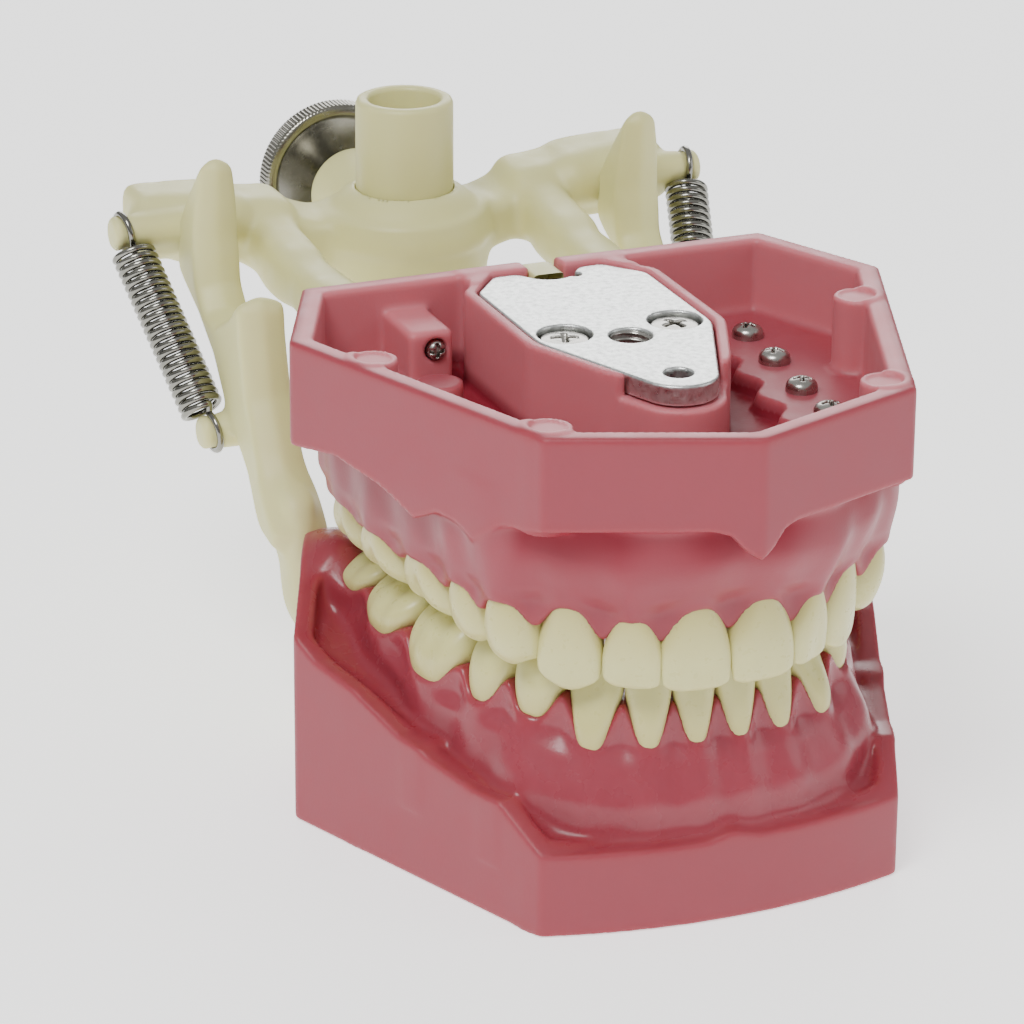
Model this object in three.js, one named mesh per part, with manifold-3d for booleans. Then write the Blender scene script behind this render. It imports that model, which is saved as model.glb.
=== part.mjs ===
// Typodont: two dental training jaws, screw-held teeth and plates, on a spring articulator.
// Millimetres, +Z up. The jaws' front faces -Y and the patient's left side is +X.
// Lengths along Y below are measured back from the front point of the upper base.
import * as THREE from 'three';
import { ConvexGeometry } from 'three/addons/geometries/ConvexGeometry.js';
import { mergeVertices } from 'three/addons/utils/BufferGeometryUtils.js';
import Module from 'manifold-3d';

const wasm = await Module();
wasm.setup();

// Driving dimensions
const GAP = 0.3; // clearance between touching pieces
const SIDES = 20; // facets on round pieces
const RING_SIDES = 10; // facets on a tooth
const PAST = 1; // how far a cutter runs past the face that it opens

const BASE = {
  heelX: 39, heelY: 50.4, // widest corners of both bases
  backX: 30.9, backY: 68.2,
  canineX: 23.5, canineY: 9.1,
  lowerFrontY: 5.5, // the lower base has a round front, the upper one a point at Y 0
  wall: 2.9,
};
const HEIGHT = 62.6; // rim of the upper base above the rim of the lower one
const UPPER = { skirtZ: 49.6, floorZ: 53, ridgeZ: 39, ridgeOut: 3.2, ridgeIn: 11.6 };
const LOWER = { floorZ: 6.5, ridgeOut: 4.6, ridgeIn: 9.6 };
const OCCLUSAL_Z = 31.8; // where the back teeth meet

const PLATE = {
  thickness: 2.6, sink: 0.2, halfWidth: 11.3, backY: 64.2, noseY: 24.3, noseRadius: 4.8,
};
const PLATE_SCREW = { x: 7.2, y: 41.5, head: 3.1, shank: 1.4, length: 7 };
const THREAD_HOLE = { y: 38.3, radius: 2.6 };
const NOSE_HOLE_RADIUS = 1.7;
const FLANK_Y = 39.5; // where the plate starts to narrow towards its nose
const PLATE_CHAMFER = { x: 4, y: 5 };
const KEY_HALF_WIDTH = 2.2;
const SIDE_SCREW = { x: -19, y: 56.5, z: 57.6, head: 1.5, length: 6 };
const RIM_BOSS = { radius: 2.9, places: [[21.2, 13], [31.6, 41.5]] };
const TONGUE = { halfX: 12, frontY: 21, floorZ: 12 }; // floor between the lower gums

const HUB = { y: 113.6, radius: 11.2, topZ: 59.8, bottomZ: 44 };
const SLEEVE = { outer: 6.5, inner: 4.75, topZ: 70.9, bottomZ: 50 };
const KNOB = { z: 52, radius: 10.8, frontY: 138.6, thickness: 3.6, stud: 2.6 };
const HINGE = { y: 114, z: 56.4, condyle: 3.6, inX: 25, outX: 37.4 };
const PEG = {
  radius: 2.35, endPast: 1.8, // how far a peg runs past its spring loop
  upper: [39.9, 111.5, 57.4], lower: [34.9, 91.9, 36], // spring loops on the left side
};
const RAMUS = { inX: 27, outX: 32.6 }; // the lower frame's upright plates
const BAR = { upperX: 19, lowerX: 26, backY: 75 }; // bars that join the arms behind each jaw
const SPRING = { radius: 3, coilShare: 0.8, hook: 1.1 }; // coilShare of the loop distance

// Teeth from the midline back: name, width along the arch, depth across it
const TOOTH_NAMES = ['central_incisor', 'lateral_incisor', 'canine', 'first_premolar',
  'second_premolar', 'first_molar', 'second_molar', 'third_molar'];
const UPPER_WIDTHS = [8.7, 7.2, 8.0, 7.4, 7.6, 10.7, 10.6, 9.4];
const UPPER_DEPTHS = [6.2, 5.6, 7.2, 8.6, 8.8, 10.6, 10.4, 9.6];
const LOWER_WIDTHS = [5.5, 5.9, 6.9, 7.2, 7.4, 11.2, 10.6, 9.8];
const LOWER_DEPTHS = [5.4, 5.6, 6.8, 7.4, 8.0, 9.8, 9.6, 9.0];
const FRONT_TEETH = 3; // incisors and canine have a cutting edge instead of a table
const SCREWED_FROM = 4; // upper back teeth whose screws are separate pieces here
const UPPER_EDGE_Z = [29.4, 30.0, 29.1];
const LOWER_EDGE_Z = [31.6, 31.6, 32.0];
const LOWER_NECK_Z = [21.3, 21.2, 20.8, 22.4, 22.4, 23, 25, 26.5];
const LOWER_LEAN = [0.7, 1, 2.2, 2.2, 2.8, 4.2, 4.2, 3.8]; // necks stand out past the cusp line
const UPPER_LEAN = [-0.4, 0.2, 0.4, 1.8, 2, 2.6, 3, 2.4];
const TOOTH_SPACE = 0.35; // taken off each side of a tooth, so that neighbours don't touch

// Cusp lines, from the midline to behind the last molar, as [X, Y]
const UPPER_ARCH = [[0, 7.3], [8.6, 8.4], [15, 12.3], [19.3, 15.6], [23.3, 19.6], [25, 26.5],
  [26.1, 36], [27.3, 46], [28, 56], [27.9, 63]];
const LOWER_ARCH = [[0, 11.3], [5.6, 11.8], [10.7, 13.7], [15, 16.8], [19, 21.2], [21.6, 27.5],
  [23.7, 36], [25.2, 46], [25.8, 57], [25.8, 64]];

// Heights along the lower jaw, as [Y, Z]: outer wall, trough inside it, and gum line
const WALL_TOP = [[-1, 10.4], [9, 10.4], [16.2, 15.3], [27, 16.3], [40.4, 20.9], [48, 22.4],
  [56, 27.4], [64, 30], [70, 30]];
const TROUGH = [[-1, 9.4], [12, 9.4], [27, 12.5], [40, 16], [48, 18], [56, 23], [62, 28], [70, 30]];
const GUM_LINE = [[-1, 20.5], [20, 20.8], [30, 22], [42, 22.8], [50, 24.6], [60, 26.2],
  [62, 30.6], [70, 31.4]];

// Side view of an upright of the lower frame, as [Y, Z]: up the front edge to the coronoid tip,
// over the notch to the condyle fin, and down the back edge
const RAMUS_SIDE = [[71.5, 28.8], [77.7, 34.5], [83.5, 43], [85.5, 50], [87, 54],
  [89.5, 55.3], [92.5, 53.5], [96, 50.6], [100, 50], [103, 52.5], [103.6, 58], [103, 64],
  [102.8, 67], [104.4, 68], [107, 64.5], [110.5, 60], [112, 57], [111, 51.6], [109, 50.4],
  [103.2, 47.6], [97.4, 43.5], [92.5, 37.6], [84.2, 32.4], [78, 27], [73, 26]];

// Materials
const finish = (color, roughness, metalness = 0) =>
  new THREE.MeshStandardMaterial({ color, roughness, metalness });
const PINK = finish(0xb0646a, 0.3);
const IVORY = finish(0xc8c6a8, 0.35);
const CREAM = finish(0xc8c3a0, 0.45);
const STEEL = finish(0xb8b8b4, 0.3, 1);
const PLATED = finish(0xc4c4c0, 0.4, 1);

// Solids from three.js geometry, and back
function solid(geometry) {
  geometry.deleteAttribute('normal');
  geometry.deleteAttribute('uv');
  const merged = mergeVertices(geometry, 1e-4);
  return new wasm.Manifold(new wasm.Mesh({
    numProp: 3,
    vertProperties: new Float32Array(merged.attributes.position.array),
    triVerts: new Uint32Array(merged.index.array),
  }));
}

function geometryOf(body) {
  const mesh = body.getMesh();
  const geometry = new THREE.BufferGeometry();
  geometry.setAttribute('position', new THREE.BufferAttribute(mesh.vertProperties, 3));
  geometry.setIndex(new THREE.BufferAttribute(mesh.triVerts, 1));
  geometry.computeVertexNormals();
  return geometry;
}

const point = (x, y, z) => new THREE.Vector3(x, y, z);
const join = (...bodies) => bodies.reduce((all, body) => all.add(body));
const cut = (body, ...cutters) => cutters.reduce((rest, cutter) => rest.subtract(cutter), body);

// Upright prism of an outline in the XY plane
function prism(shape, bottomZ, topZ) {
  const options = { depth: topZ - bottomZ, bevelEnabled: false, curveSegments: 8 };
  return solid(new THREE.ExtrudeGeometry(shape, options).translate(0, 0, bottomZ));
}

const shapeOf = (points) => new THREE.Shape(points.map(([x, y]) => new THREE.Vector2(x, y)));

function block(lowX, highX, lowY, highY, lowZ, highZ) {
  const box = new THREE.BoxGeometry(highX - lowX, highY - lowY, highZ - lowZ);
  return solid(box.translate((lowX + highX) / 2, (lowY + highY) / 2, (lowZ + highZ) / 2));
}

// Round bar between two points, tapered where the radii differ
function rod(from, to, startRadius, endRadius = startRadius, sides = SIDES) {
  const axis = to.clone().sub(from);
  const bar = new THREE.CylinderGeometry(endRadius, startRadius, axis.length(), sides);
  const turn = new THREE.Quaternion().setFromUnitVectors(point(0, 1, 0), axis.normalize());
  const middle = from.clone().add(to).multiplyScalar(0.5);
  return solid(bar.applyQuaternion(turn).translate(middle.x, middle.y, middle.z));
}

// Points of an ellipse about a centre, across two half axes
function ring(centre, halfU, halfV, sides = RING_SIDES) {
  return Array.from({ length: sides }, (_, i) => {
    const angle = (2 * Math.PI * i) / sides;
    return centre.clone()
      .addScaledVector(halfU, Math.cos(angle)).addScaledVector(halfV, Math.sin(angle));
  });
}

const hull = (...rings) => solid(new ConvexGeometry(rings.flat()));

// Limb through stations [x, y, z, halfX, halfY, halfZ], each a small diamond-edged block
function limb(side, stations) {
  const knots = stations.map(([x, y, z, halfX, halfY, halfZ]) => {
    const soft = 0.62; // how much of each half size the flat faces keep
    return [[1, soft, soft], [soft, 1, soft], [soft, soft, 1]].flatMap(([u, v, w]) =>
      [-1, 1].flatMap((i) => [-1, 1].flatMap((j) => [-1, 1].map((k) =>
        point(side * x + i * u * halfX, y + j * v * halfY, z + k * w * halfZ)))));
  });
  const spans = knots.slice(1).map((knot, i) => hull(knots[i], knot));
  return join(...spans);
}

// Base outlines
function baseCorners(inset = 0) {
  const { heelX, heelY, backX, backY, canineX, canineY } = BASE;
  const corners = [[canineX, canineY], [heelX, heelY], [backX, backY], [-backX, backY],
    [-heelX, heelY], [-canineX, canineY], [0, 0]].map(([x, y]) => new THREE.Vector2(x, y));
  return insetOutline(corners, inset);
}

// Outline of a convex polygon moved inwards by a distance
function insetOutline(corners, inset) {
  const count = corners.length;
  return corners.map((corner, i) => {
    const before = corner.clone().sub(corners[(i + count - 1) % count]).normalize();
    const after = corners[(i + 1) % count].clone().sub(corner).normalize();
    const inward = new THREE.Vector2(-before.y - after.y, before.x + after.x);
    const scale = inset / (1 + before.dot(after));
    return corner.clone().addScaledVector(inward, scale);
  });
}

const upperOutline = (inset = 0) => new THREE.Shape(baseCorners(inset));

function lowerOutline(inset = 0) {
  const corners = baseCorners(inset).slice(0, -1);
  const right = corners[0];
  const frontY = BASE.lowerFrontY + inset;
  const bow = right.y - frontY;
  const radius = (right.x ** 2 + bow ** 2) / (2 * bow);
  const reach = Math.asin(right.x / radius);
  const start = -Math.PI / 2 - reach;
  const shape = new THREE.Shape();
  shape.absarc(0, frontY + radius, radius, start, start + 2 * reach, false);
  corners.slice(1, -1).forEach((corner) => shape.lineTo(corner.x, corner.y));
  return shape;
}

// Mount plate: parallel flanks that narrow to a round nose, notched behind for the key
function plateOutline(grow = 0, notched = true) {
  const half = PLATE.halfWidth + grow;
  const backY = PLATE.backY + grow;
  const nose = PLATE.noseRadius + grow;
  const shape = new THREE.Shape();
  const flare = Math.PI / 10;
  const { x: cornerX, y: cornerY } = PLATE_CHAMFER;
  shape.moveTo(half, FLANK_Y);
  shape.lineTo(half, backY - cornerY);
  shape.lineTo(half - cornerX, backY);
  if (notched) shape.absarc(0, backY, KEY_HALF_WIDTH + 1.2, 0, Math.PI, true);
  shape.lineTo(cornerX - half, backY);
  shape.lineTo(-half, backY - cornerY);
  shape.lineTo(-half, FLANK_Y);
  shape.absarc(0, PLATE.noseY, nose, Math.PI + flare, 2 * Math.PI - flare, false);
  shape.lineTo(half, FLANK_Y);
  return shape;
}

function mountPlate(bottomZ, outward) {
  const topZ = bottomZ + PLATE.thickness;
  const bore = (x, y, radius) =>
    rod(point(x, y, bottomZ - PAST), point(x, y, topZ + PAST), radius);
  return cut(prism(plateOutline(), bottomZ, topZ),
    bore(0, THREAD_HOLE.y, THREAD_HOLE.radius), bore(0, PLATE.noseY, NOSE_HOLE_RADIUS),
    plateScrew(1, outward, GAP), plateScrew(-1, outward, GAP));
}

// Countersunk screw through a plate, its head flush with the plate's outer face
function plateScrew(side, outward, grow = 0) {
  const faceZ = outward > 0 ? HEIGHT - PLATE.sink : PLATE.sink;
  const at = (depth) => point(side * PLATE_SCREW.x, PLATE_SCREW.y, faceZ - outward * depth);
  const { head, shank, length } = PLATE_SCREW;
  const start = grow > 0 ? -PAST : 0;
  const countersink = head - shank;
  return join(
    rod(at(start), at(0.4), head + grow),
    rod(at(0.3), at(countersink + 0.3), head + grow, shank + grow),
    rod(at(countersink), at(length + grow), shank + grow));
}

// Teeth stand at their arc length along the cusp line
function toothPlace(arch, widths, index, side) {
  const start = widths.slice(0, index).reduce((sum, width) => sum + width, 0);
  const line = new THREE.CatmullRomCurve3(arch.map(([x, y]) => point(x, y, 0)));
  line.arcLengthDivisions = 400;
  const share = (start + widths[index] / 2) / line.getLength();
  const at = line.getPointAt(share);
  const along = line.getTangentAt(share);
  at.x *= side;
  along.x *= side;
  const inward = point(-side * along.y, side * along.x, 0).normalize();
  return { at, along, inward };
}

// One tooth: crown rings from the biting end to the neck, then a tapered root stub.
// Rings are [z, inward offset of the outer face, share of the width, share of the depth].
function toothBody(place, width, depth, crown, root, grow = 0) {
  const section = ([z, offset, wide, deep]) => {
    const halfDepth = (depth / 2) * deep;
    const centre = place.at.clone().addScaledVector(place.inward, offset + halfDepth).setZ(z);
    const halfWidth = (width / 2 - TOOTH_SPACE) * wide;
    return ring(centre, place.along.clone().multiplyScalar(halfWidth + grow),
      place.inward.clone().multiplyScalar(halfDepth + grow));
  };
  return join(hull(...crown.map(section)), hull(...root.map(section)));
}

function upperTooth(index, side, grow = 0) {
  const place = toothPlace(UPPER_ARCH, UPPER_WIDTHS, index, side);
  const front = index < FRONT_TEETH;
  const tipZ = front ? UPPER_EDGE_Z[index] : OCCLUSAL_Z + GAP / 2;
  const neckZ = UPPER.ridgeZ - GAP;
  const lean = -UPPER_LEAN[index];
  const crown = front
    ? [[tipZ, 0.1, 0.84, 0.24], [tipZ + 3, -0.3, 1, 0.56], [neckZ, lean, 0.78, 0.9]]
    : [[tipZ, 0.4, 0.8, 0.68], [tipZ + 3, lean * 0.8, 1, 0.98], [neckZ, lean, 0.82, 0.92]];
  const root = [[neckZ - 0.2, lean + 0.4, 0.7, 0.84],
    [UPPER.floorZ - 3.4 + grow, 1.4, 0.46, 0.5]];
  return toothBody(place, UPPER_WIDTHS[index], UPPER_DEPTHS[index], crown, root, grow);
}

function lowerTooth(index, side, grow = 0) {
  const place = toothPlace(LOWER_ARCH, LOWER_WIDTHS, index, side);
  const front = index < FRONT_TEETH;
  const tipZ = front ? LOWER_EDGE_Z[index] : OCCLUSAL_Z - GAP / 2;
  const neckZ = LOWER_NECK_Z[index];
  const lean = -LOWER_LEAN[index];
  const crown = front
    ? [[tipZ, 0.1, 0.86, 0.26], [tipZ - 3, -0.1, 1, 0.56], [neckZ, lean, 0.72, 0.94]]
    : [[tipZ, 0, 0.82, 0.7], [tipZ - 3.6, lean * 0.75, 1, 1], [neckZ, lean, 0.84, 0.94]];
  const root = [[neckZ + 0.2, lean + 0.3, 0.66, 0.85],
    [LOWER.floorZ + 3.4 - grow, 0.4, 0.46, 0.5]];
  return toothBody(place, LOWER_WIDTHS[index], LOWER_DEPTHS[index], crown, root, grow);
}

// Pan-head screw from the tray floor into the root of an upper tooth
function toothScrew(index, side, grow = 0) {
  const { at, inward } = toothPlace(UPPER_ARCH, UPPER_WIDTHS, index, side);
  const foot = at.clone().addScaledVector(inward, 1.4 + UPPER_DEPTHS[index] / 4);
  const level = (z) => foot.clone().setZ(z);
  const seat = UPPER.floorZ + (grow > 0 ? 0 : GAP);
  return join(rod(level(seat), level(seat + 1.5), 2 + grow, 1.8 + grow, 12),
    rod(level(UPPER.floorZ - 7 - grow), level(seat + 0.5), 0.9 + grow, undefined, 8));
}

// Horseshoe between two offsets from a cusp line, which carries the teeth
function horseshoe(arch, outward, inward, endY) {
  const line = new THREE.CatmullRomCurve3(arch.map(([x, y]) => point(x, y, 0)));
  const steps = 11;
  const side = (sign, offset) => Array.from({ length: steps + 1 }, (_, i) => {
    const at = line.getPointAt(i / steps);
    const along = line.getTangentAt(i / steps);
    const x = i === 0 ? 0 : at.x + along.y * offset;
    return [sign * x, Math.min(at.y - along.x * offset, endY)];
  });
  const outer = [...side(-1, outward).reverse(), ...side(1, outward).slice(1)];
  const inner = [...side(1, -inward).reverse(), ...side(-1, -inward).slice(1)];
  return shapeOf([...outer, ...inner]);
}

const each = (count, make) =>
  [-1, 1].flatMap((side) => Array.from({ length: count }, (_, index) => make(index, side)));

// Central pillar with the plate's pocket, and the tray around it
function pillar(rimZ, floorZ, outward) {
  const [low, high] = [Math.min(rimZ, floorZ), Math.max(rimZ, floorZ)];
  const face = rimZ - outward * PLATE.sink;
  const seat = face - outward * (PLATE.thickness + GAP);
  const pocket = prism(plateOutline(GAP, false),
    Math.min(seat, rimZ + outward * PAST), Math.max(seat, rimZ + outward * PAST));
  const overhang = block(-20, 20, 10, PLATE.noseY + 1.4,
    Math.min(seat, rimZ + outward * PAST), Math.max(seat, rimZ + outward * PAST));
  return cut(prism(plateOutline(1.5, false), low, high), pocket, overhang);
}

// Slot in the back wall for the articulator's key
function keySlot(rimZ, outward) {
  const end = rimZ + outward * PAST;
  const start = rimZ - outward * (PLATE.thickness + 4.4);
  const half = KEY_HALF_WIDTH + GAP;
  return block(-half, half, PLATE.backY - 2.5, BASE.backY + PAST,
    Math.min(start, end), Math.max(start, end));
}

function rimBosses(bottomZ, topZ) {
  return RIM_BOSS.places.flatMap(([x, y]) => [-1, 1].map((side) =>
    rod(point(side * x, y, bottomZ), point(side * x, y, topZ), RIM_BOSS.radius, undefined, 12)));
}

// Horizontal lock screw in a column beside the upper pillar
function sideScrew(grow = 0) {
  const { x, y, z, head, length } = SIDE_SCREW;
  const front = y - length / 2;
  return join(rod(point(x, front - 0.8, z), point(x, front + 0.5, z), head + grow, undefined, 12),
    rod(point(x, front, z), point(x, front + length + grow, z), 0.9 + grow, undefined, 8));
}

function upperJaw() {
  const { skirtZ, floorZ, ridgeZ } = UPPER;
  const { x, y, length } = SIDE_SCREW;
  const base = cut(prism(upperOutline(), skirtZ, HEIGHT),
    prism(upperOutline(BASE.wall), floorZ, HEIGHT + PAST));
  const column = block(x - 3, x + 3, y - length / 2 + 0.8, BASE.backY - 1, floorZ - 0.5, 60);
  const ridge = prism(horseshoe(UPPER_ARCH, UPPER.ridgeOut, UPPER.ridgeIn, 64), ridgeZ, skirtZ + 1);
  const body = join(base, ridge, column, pillar(HEIGHT, floorZ - 0.5, 1),
    ...rimBosses(floorZ - 0.5, HEIGHT));
  return cut(body, keySlot(HEIGHT, 1), sideScrew(GAP),
    plateScrew(1, 1, GAP), plateScrew(-1, 1, GAP),
    ...each(8, (index, side) => upperTooth(index, side, GAP)),
    ...each(4, (index, side) => toothScrew(index + SCREWED_FROM, side, GAP)));
}

// Slab across both sides, of a side view given as [Y, Z]
function sideSlab(profile, lowX, highX) {
  const options = { depth: highX - lowX, bevelEnabled: false };
  const slab = new THREE.ExtrudeGeometry(shapeOf(profile), options);
  return solid(slab.rotateX(Math.PI / 2).rotateZ(Math.PI / 2).translate(lowX, 0, 0));
}

function lowerJaw() {
  const { floorZ, ridgeOut, ridgeIn } = LOWER;
  const below = (line) => sideSlab([[-1, 0], [70, 0], ...line.slice().reverse()], -40, 40);
  const above = (line) => sideSlab([...line, [70, 45], [-1, 45]], -40, 40);
  const walls = prism(lowerOutline(), 0, 40).intersect(below(WALL_TOP));
  const well = prism(lowerOutline(BASE.wall), 1, 41).intersect(above(TROUGH));
  const hollow = prism(lowerOutline(BASE.wall), -PAST, floorZ);
  const arch = horseshoe(LOWER_ARCH, ridgeOut, ridgeIn, 67);
  const ridge = prism(arch, floorZ + 1, 40).intersect(below(GUM_LINE));
  const tongue = block(-TONGUE.halfX, TONGUE.halfX, TONGUE.frontY, BASE.backY + PAST,
    TONGUE.floorZ, 45);
  const body = join(cut(walls, hollow, well), ridge, pillar(0, floorZ + 0.5, -1),
    ...rimBosses(0, floorZ + 0.5));
  return cut(body, tongue, keySlot(0, -1), plateScrew(1, -1, GAP), plateScrew(-1, -1, GAP),
    ...each(8, (index, side) => lowerTooth(index, side, GAP)));
}

// Articulator, upper half: hub, cross-arms with pegs, struts and the key bar behind the jaw
function hub() {
  const { y, radius, topZ, bottomZ } = HUB;
  const profile = [[0, bottomZ], [radius - 1.4, bottomZ], [radius - 0.8, 53], [radius, 54],
    [radius - 0.4, 56], [radius - 2.6, 58.4], [SLEEVE.outer + 0.8, topZ], [0, topZ]];
  const turned = new THREE.LatheGeometry(profile.map(([r, z]) => new THREE.Vector2(r, z)), 28);
  return solid(turned.rotateX(Math.PI / 2).translate(0, y, 0));
}

const pegAt = ([x, y, z], side) => point(side * x, y, z);

function peg(loop, side, rootX) {
  const [x, y, z] = loop;
  return rod(point(side * rootX, y, z), point(side * (x + PEG.endPast), y, z), PEG.radius);
}

function upperFrame() {
  const arm = (side) => join(
    limb(side, [[8, 114, 52.6, 3, 5, 4], [13, 116, 53.4, 4, 4.8, 3.6], [20, 117.4, 55.8, 4, 4.2, 4],
      [28, 117.8, 56.8, 4, 4, 4.2], [34.6, 117.6, 57.2, 3, 3.8, 4.6]]),
    limb(side, [[19, 114, 53.6, 3.6, 5, 4.4], [19.4, 104, 52, 3.4, 5, 3.6],
      [19, 92, 51.4, 3.2, 5, 3.2], [17, 73, 53, 3.4, 3.4, 3.6]]),
    rod(point(side * HINGE.inX, HINGE.y, HINGE.z), point(side * HINGE.outX, HINGE.y, HINGE.z),
      HINGE.condyle),
    peg(PEG.upper, side, HINGE.outX - 4));
  const bar = block(-BAR.upperX, BAR.upperX, BASE.backY + GAP, BAR.backY, 50, 58.6);
  const key = block(-KEY_HALF_WIDTH, KEY_HALF_WIDTH, PLATE.backY - 2.2, BASE.backY, 56.2, HEIGHT);
  const keyRoot = block(-KEY_HALF_WIDTH, KEY_HALF_WIDTH, BASE.backY - 1, 72, 56.2, 58.4);
  const neck = rod(point(0, HUB.y, KNOB.z), point(0, KNOB.frontY - 4.6, KNOB.z), 6.4, 5.2);
  return cut(join(hub(), arm(-1), arm(1), bar, key, keyRoot, neck),
    sleeve(GAP), knob(GAP), mountPlate(HEIGHT - PLATE.sink - PLATE.thickness, 1));
}

// Sleeve that takes the mounting rod, pressed into the hub
function sleeve(grow = 0) {
  const { outer, inner, topZ, bottomZ } = SLEEVE;
  const at = (z) => point(0, HUB.y, z);
  const body = rod(at(bottomZ - grow), at(topZ), outer + grow, undefined, 28);
  if (grow > 0) return join(body, rod(at(HUB.bottomZ - PAST), at(bottomZ), inner, undefined, 28));
  const stud = rod(point(0, HUB.y, KNOB.z), point(0, HUB.y + 10, KNOB.z), KNOB.stud + GAP);
  return cut(body, rod(at(bottomZ - PAST), at(topZ + PAST), inner, undefined, 28), stud);
}

// Dished clamp knob with a rim, on the stud that presses on the rod in the sleeve
function knob(grow = 0) {
  const { z, radius, frontY, thickness, stud } = KNOB;
  const at = (y) => point(0, y, z);
  const studFrom = HUB.y + SLEEVE.inner + 0.4;
  if (grow > 0) return rod(at(studFrom - 1), at(frontY + thickness), stud + grow);
  const backY = frontY + thickness;
  const profile = [[0, studFrom], [stud, studFrom], [stud, frontY + 2], [4.5, frontY + 1.8],
    [radius - 1.2, frontY], [radius - 0.4, frontY], [radius, frontY + 0.5], [radius, backY - 0.6],
    [radius - 0.8, backY], [0, backY]];
  const turned = new THREE.LatheGeometry(profile.map(([r, y]) => new THREE.Vector2(r, y)), 36);
  return solid(turned.translate(0, 0, z));
}

// Articulator, lower half: two sloping uprights whose hollow backs seat the cross-arm, and a
// bar behind the jaw
function lowerFrame() {
  const { inX, outX } = RAMUS;
  const upright = (side) => join(
    sideSlab(RAMUS_SIDE, Math.min(side * inX, side * outX), Math.max(side * inX, side * outX)),
    limb(side, [[29.8, 75.6, 28.6, 2.8, 3.8, 3], [28.2, 72.4, 20, 2.6, 3.4, 3],
      [25.5, 72, 10, 2.6, 3.3, 3]]),
    peg(PEG.lower, side, inX + 2));
  const seat = rod(point(-40, HINGE.y, HINGE.z), point(40, HINGE.y, HINGE.z),
    HINGE.condyle + GAP);
  const bar = block(-BAR.lowerX, BAR.lowerX, BASE.backY + GAP, BAR.backY, 4, 14);
  const key = block(-KEY_HALF_WIDTH, KEY_HALF_WIDTH, PLATE.backY - 2.2, 72, 1, 6.4);
  return cut(join(upright(-1), upright(1), bar, key), seat, mountPlate(PLATE.sink, -1));
}

// Closed envelope of a tension spring and its two end loops
function spring(side) {
  const top = pegAt(PEG.upper, side);
  const foot = pegAt(PEG.lower, side);
  const along = top.clone().sub(foot).normalize();
  const middle = top.clone().add(foot).multiplyScalar(0.5);
  const from = (centre, distance) => centre.clone().addScaledVector(along, distance);
  const half = (top.distanceTo(foot) * SPRING.coilShare) / 2;
  const reach = PEG.radius + GAP + 0.3;
  return join(rod(from(middle, -half), from(middle, half), SPRING.radius, undefined, 12),
    rod(from(foot, reach), from(top, -reach), SPRING.hook, undefined, 8));
}

// Scene graph
const sideName = (side) => (side < 0 ? 'right' : 'left');
const jaws = new THREE.Group();

function add(name, material, body) {
  const mesh = new THREE.Mesh(geometryOf(body), material);
  mesh.name = name;
  jaws.add(mesh);
}

add('lower_jaw', PINK, lowerJaw());
add('upper_jaw', PINK, upperJaw());
add('lower_mount_plate', PLATED, mountPlate(PLATE.sink, -1));
add('upper_mount_plate', PLATED, mountPlate(HEIGHT - PLATE.sink - PLATE.thickness, 1));
add('lower_articulator_frame', CREAM, lowerFrame());
add('upper_articulator_frame', CREAM, upperFrame());
add('mounting_sleeve', CREAM, sleeve());
add('clamp_knob', STEEL, knob());
add('upper_lock_screw', STEEL, sideScrew());
for (const side of [-1, 1]) {
  add(`${sideName(side)}_spring`, STEEL, spring(side));
  add(`lower_plate_screw_${sideName(side)}`, STEEL, plateScrew(side, -1));
  add(`upper_plate_screw_${sideName(side)}`, STEEL, plateScrew(side, 1));
  TOOTH_NAMES.forEach((tooth, index) => {
    add(`lower_${sideName(side)}_${tooth}`, IVORY, lowerTooth(index, side));
    const screwed = index >= SCREWED_FROM;
    const crown = upperTooth(index, side);
    add(`upper_${sideName(side)}_${tooth}`, IVORY,
      screwed ? cut(crown, toothScrew(index, side, GAP)) : crown);
    if (screwed) add(`screw_upper_${sideName(side)}_${tooth}`, STEEL, toothScrew(index, side));
  });
}

// The origin is at the middle of the whole model, on the surface that it stands on
jaws.position.y = -(KNOB.frontY + KNOB.thickness) / 2;
const group = new THREE.Group();
group.add(jaws);

export default group;
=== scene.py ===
"""Looks of the typodont: moulded gums, carved teeth, cream articulator, steel plates and springs.

Shapes are worked out in millimetres, with Y measured back from the front point of the upper
base, and placed in the frame's metres when their meshes are made.
"""

import math

import bpy
import numpy as np
from mathutils import Matrix, Vector


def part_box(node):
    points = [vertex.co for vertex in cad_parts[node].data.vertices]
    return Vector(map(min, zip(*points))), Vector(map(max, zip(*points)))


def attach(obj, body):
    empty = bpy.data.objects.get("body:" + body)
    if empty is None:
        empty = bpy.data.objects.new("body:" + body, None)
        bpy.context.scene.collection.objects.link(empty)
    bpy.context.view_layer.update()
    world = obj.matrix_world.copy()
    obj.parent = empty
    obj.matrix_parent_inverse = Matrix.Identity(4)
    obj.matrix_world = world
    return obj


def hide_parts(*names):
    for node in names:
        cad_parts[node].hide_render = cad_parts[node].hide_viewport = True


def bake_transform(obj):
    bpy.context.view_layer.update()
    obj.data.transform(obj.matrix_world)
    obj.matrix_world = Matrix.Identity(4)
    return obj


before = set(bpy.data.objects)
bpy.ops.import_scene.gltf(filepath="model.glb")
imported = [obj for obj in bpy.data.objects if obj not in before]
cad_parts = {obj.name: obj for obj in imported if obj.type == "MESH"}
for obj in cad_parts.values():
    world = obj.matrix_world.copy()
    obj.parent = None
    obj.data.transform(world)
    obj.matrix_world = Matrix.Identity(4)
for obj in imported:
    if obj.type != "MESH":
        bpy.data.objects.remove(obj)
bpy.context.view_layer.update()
MM = 0.001
FRONT_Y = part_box("upper_jaw")[0].y / MM


def span(node):
    """Lowest and highest corner of a CAD node, in millimetres from the front point."""
    return [np.array([c.x / MM, c.y / MM - FRONT_Y, c.z / MM]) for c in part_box(node)]


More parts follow.
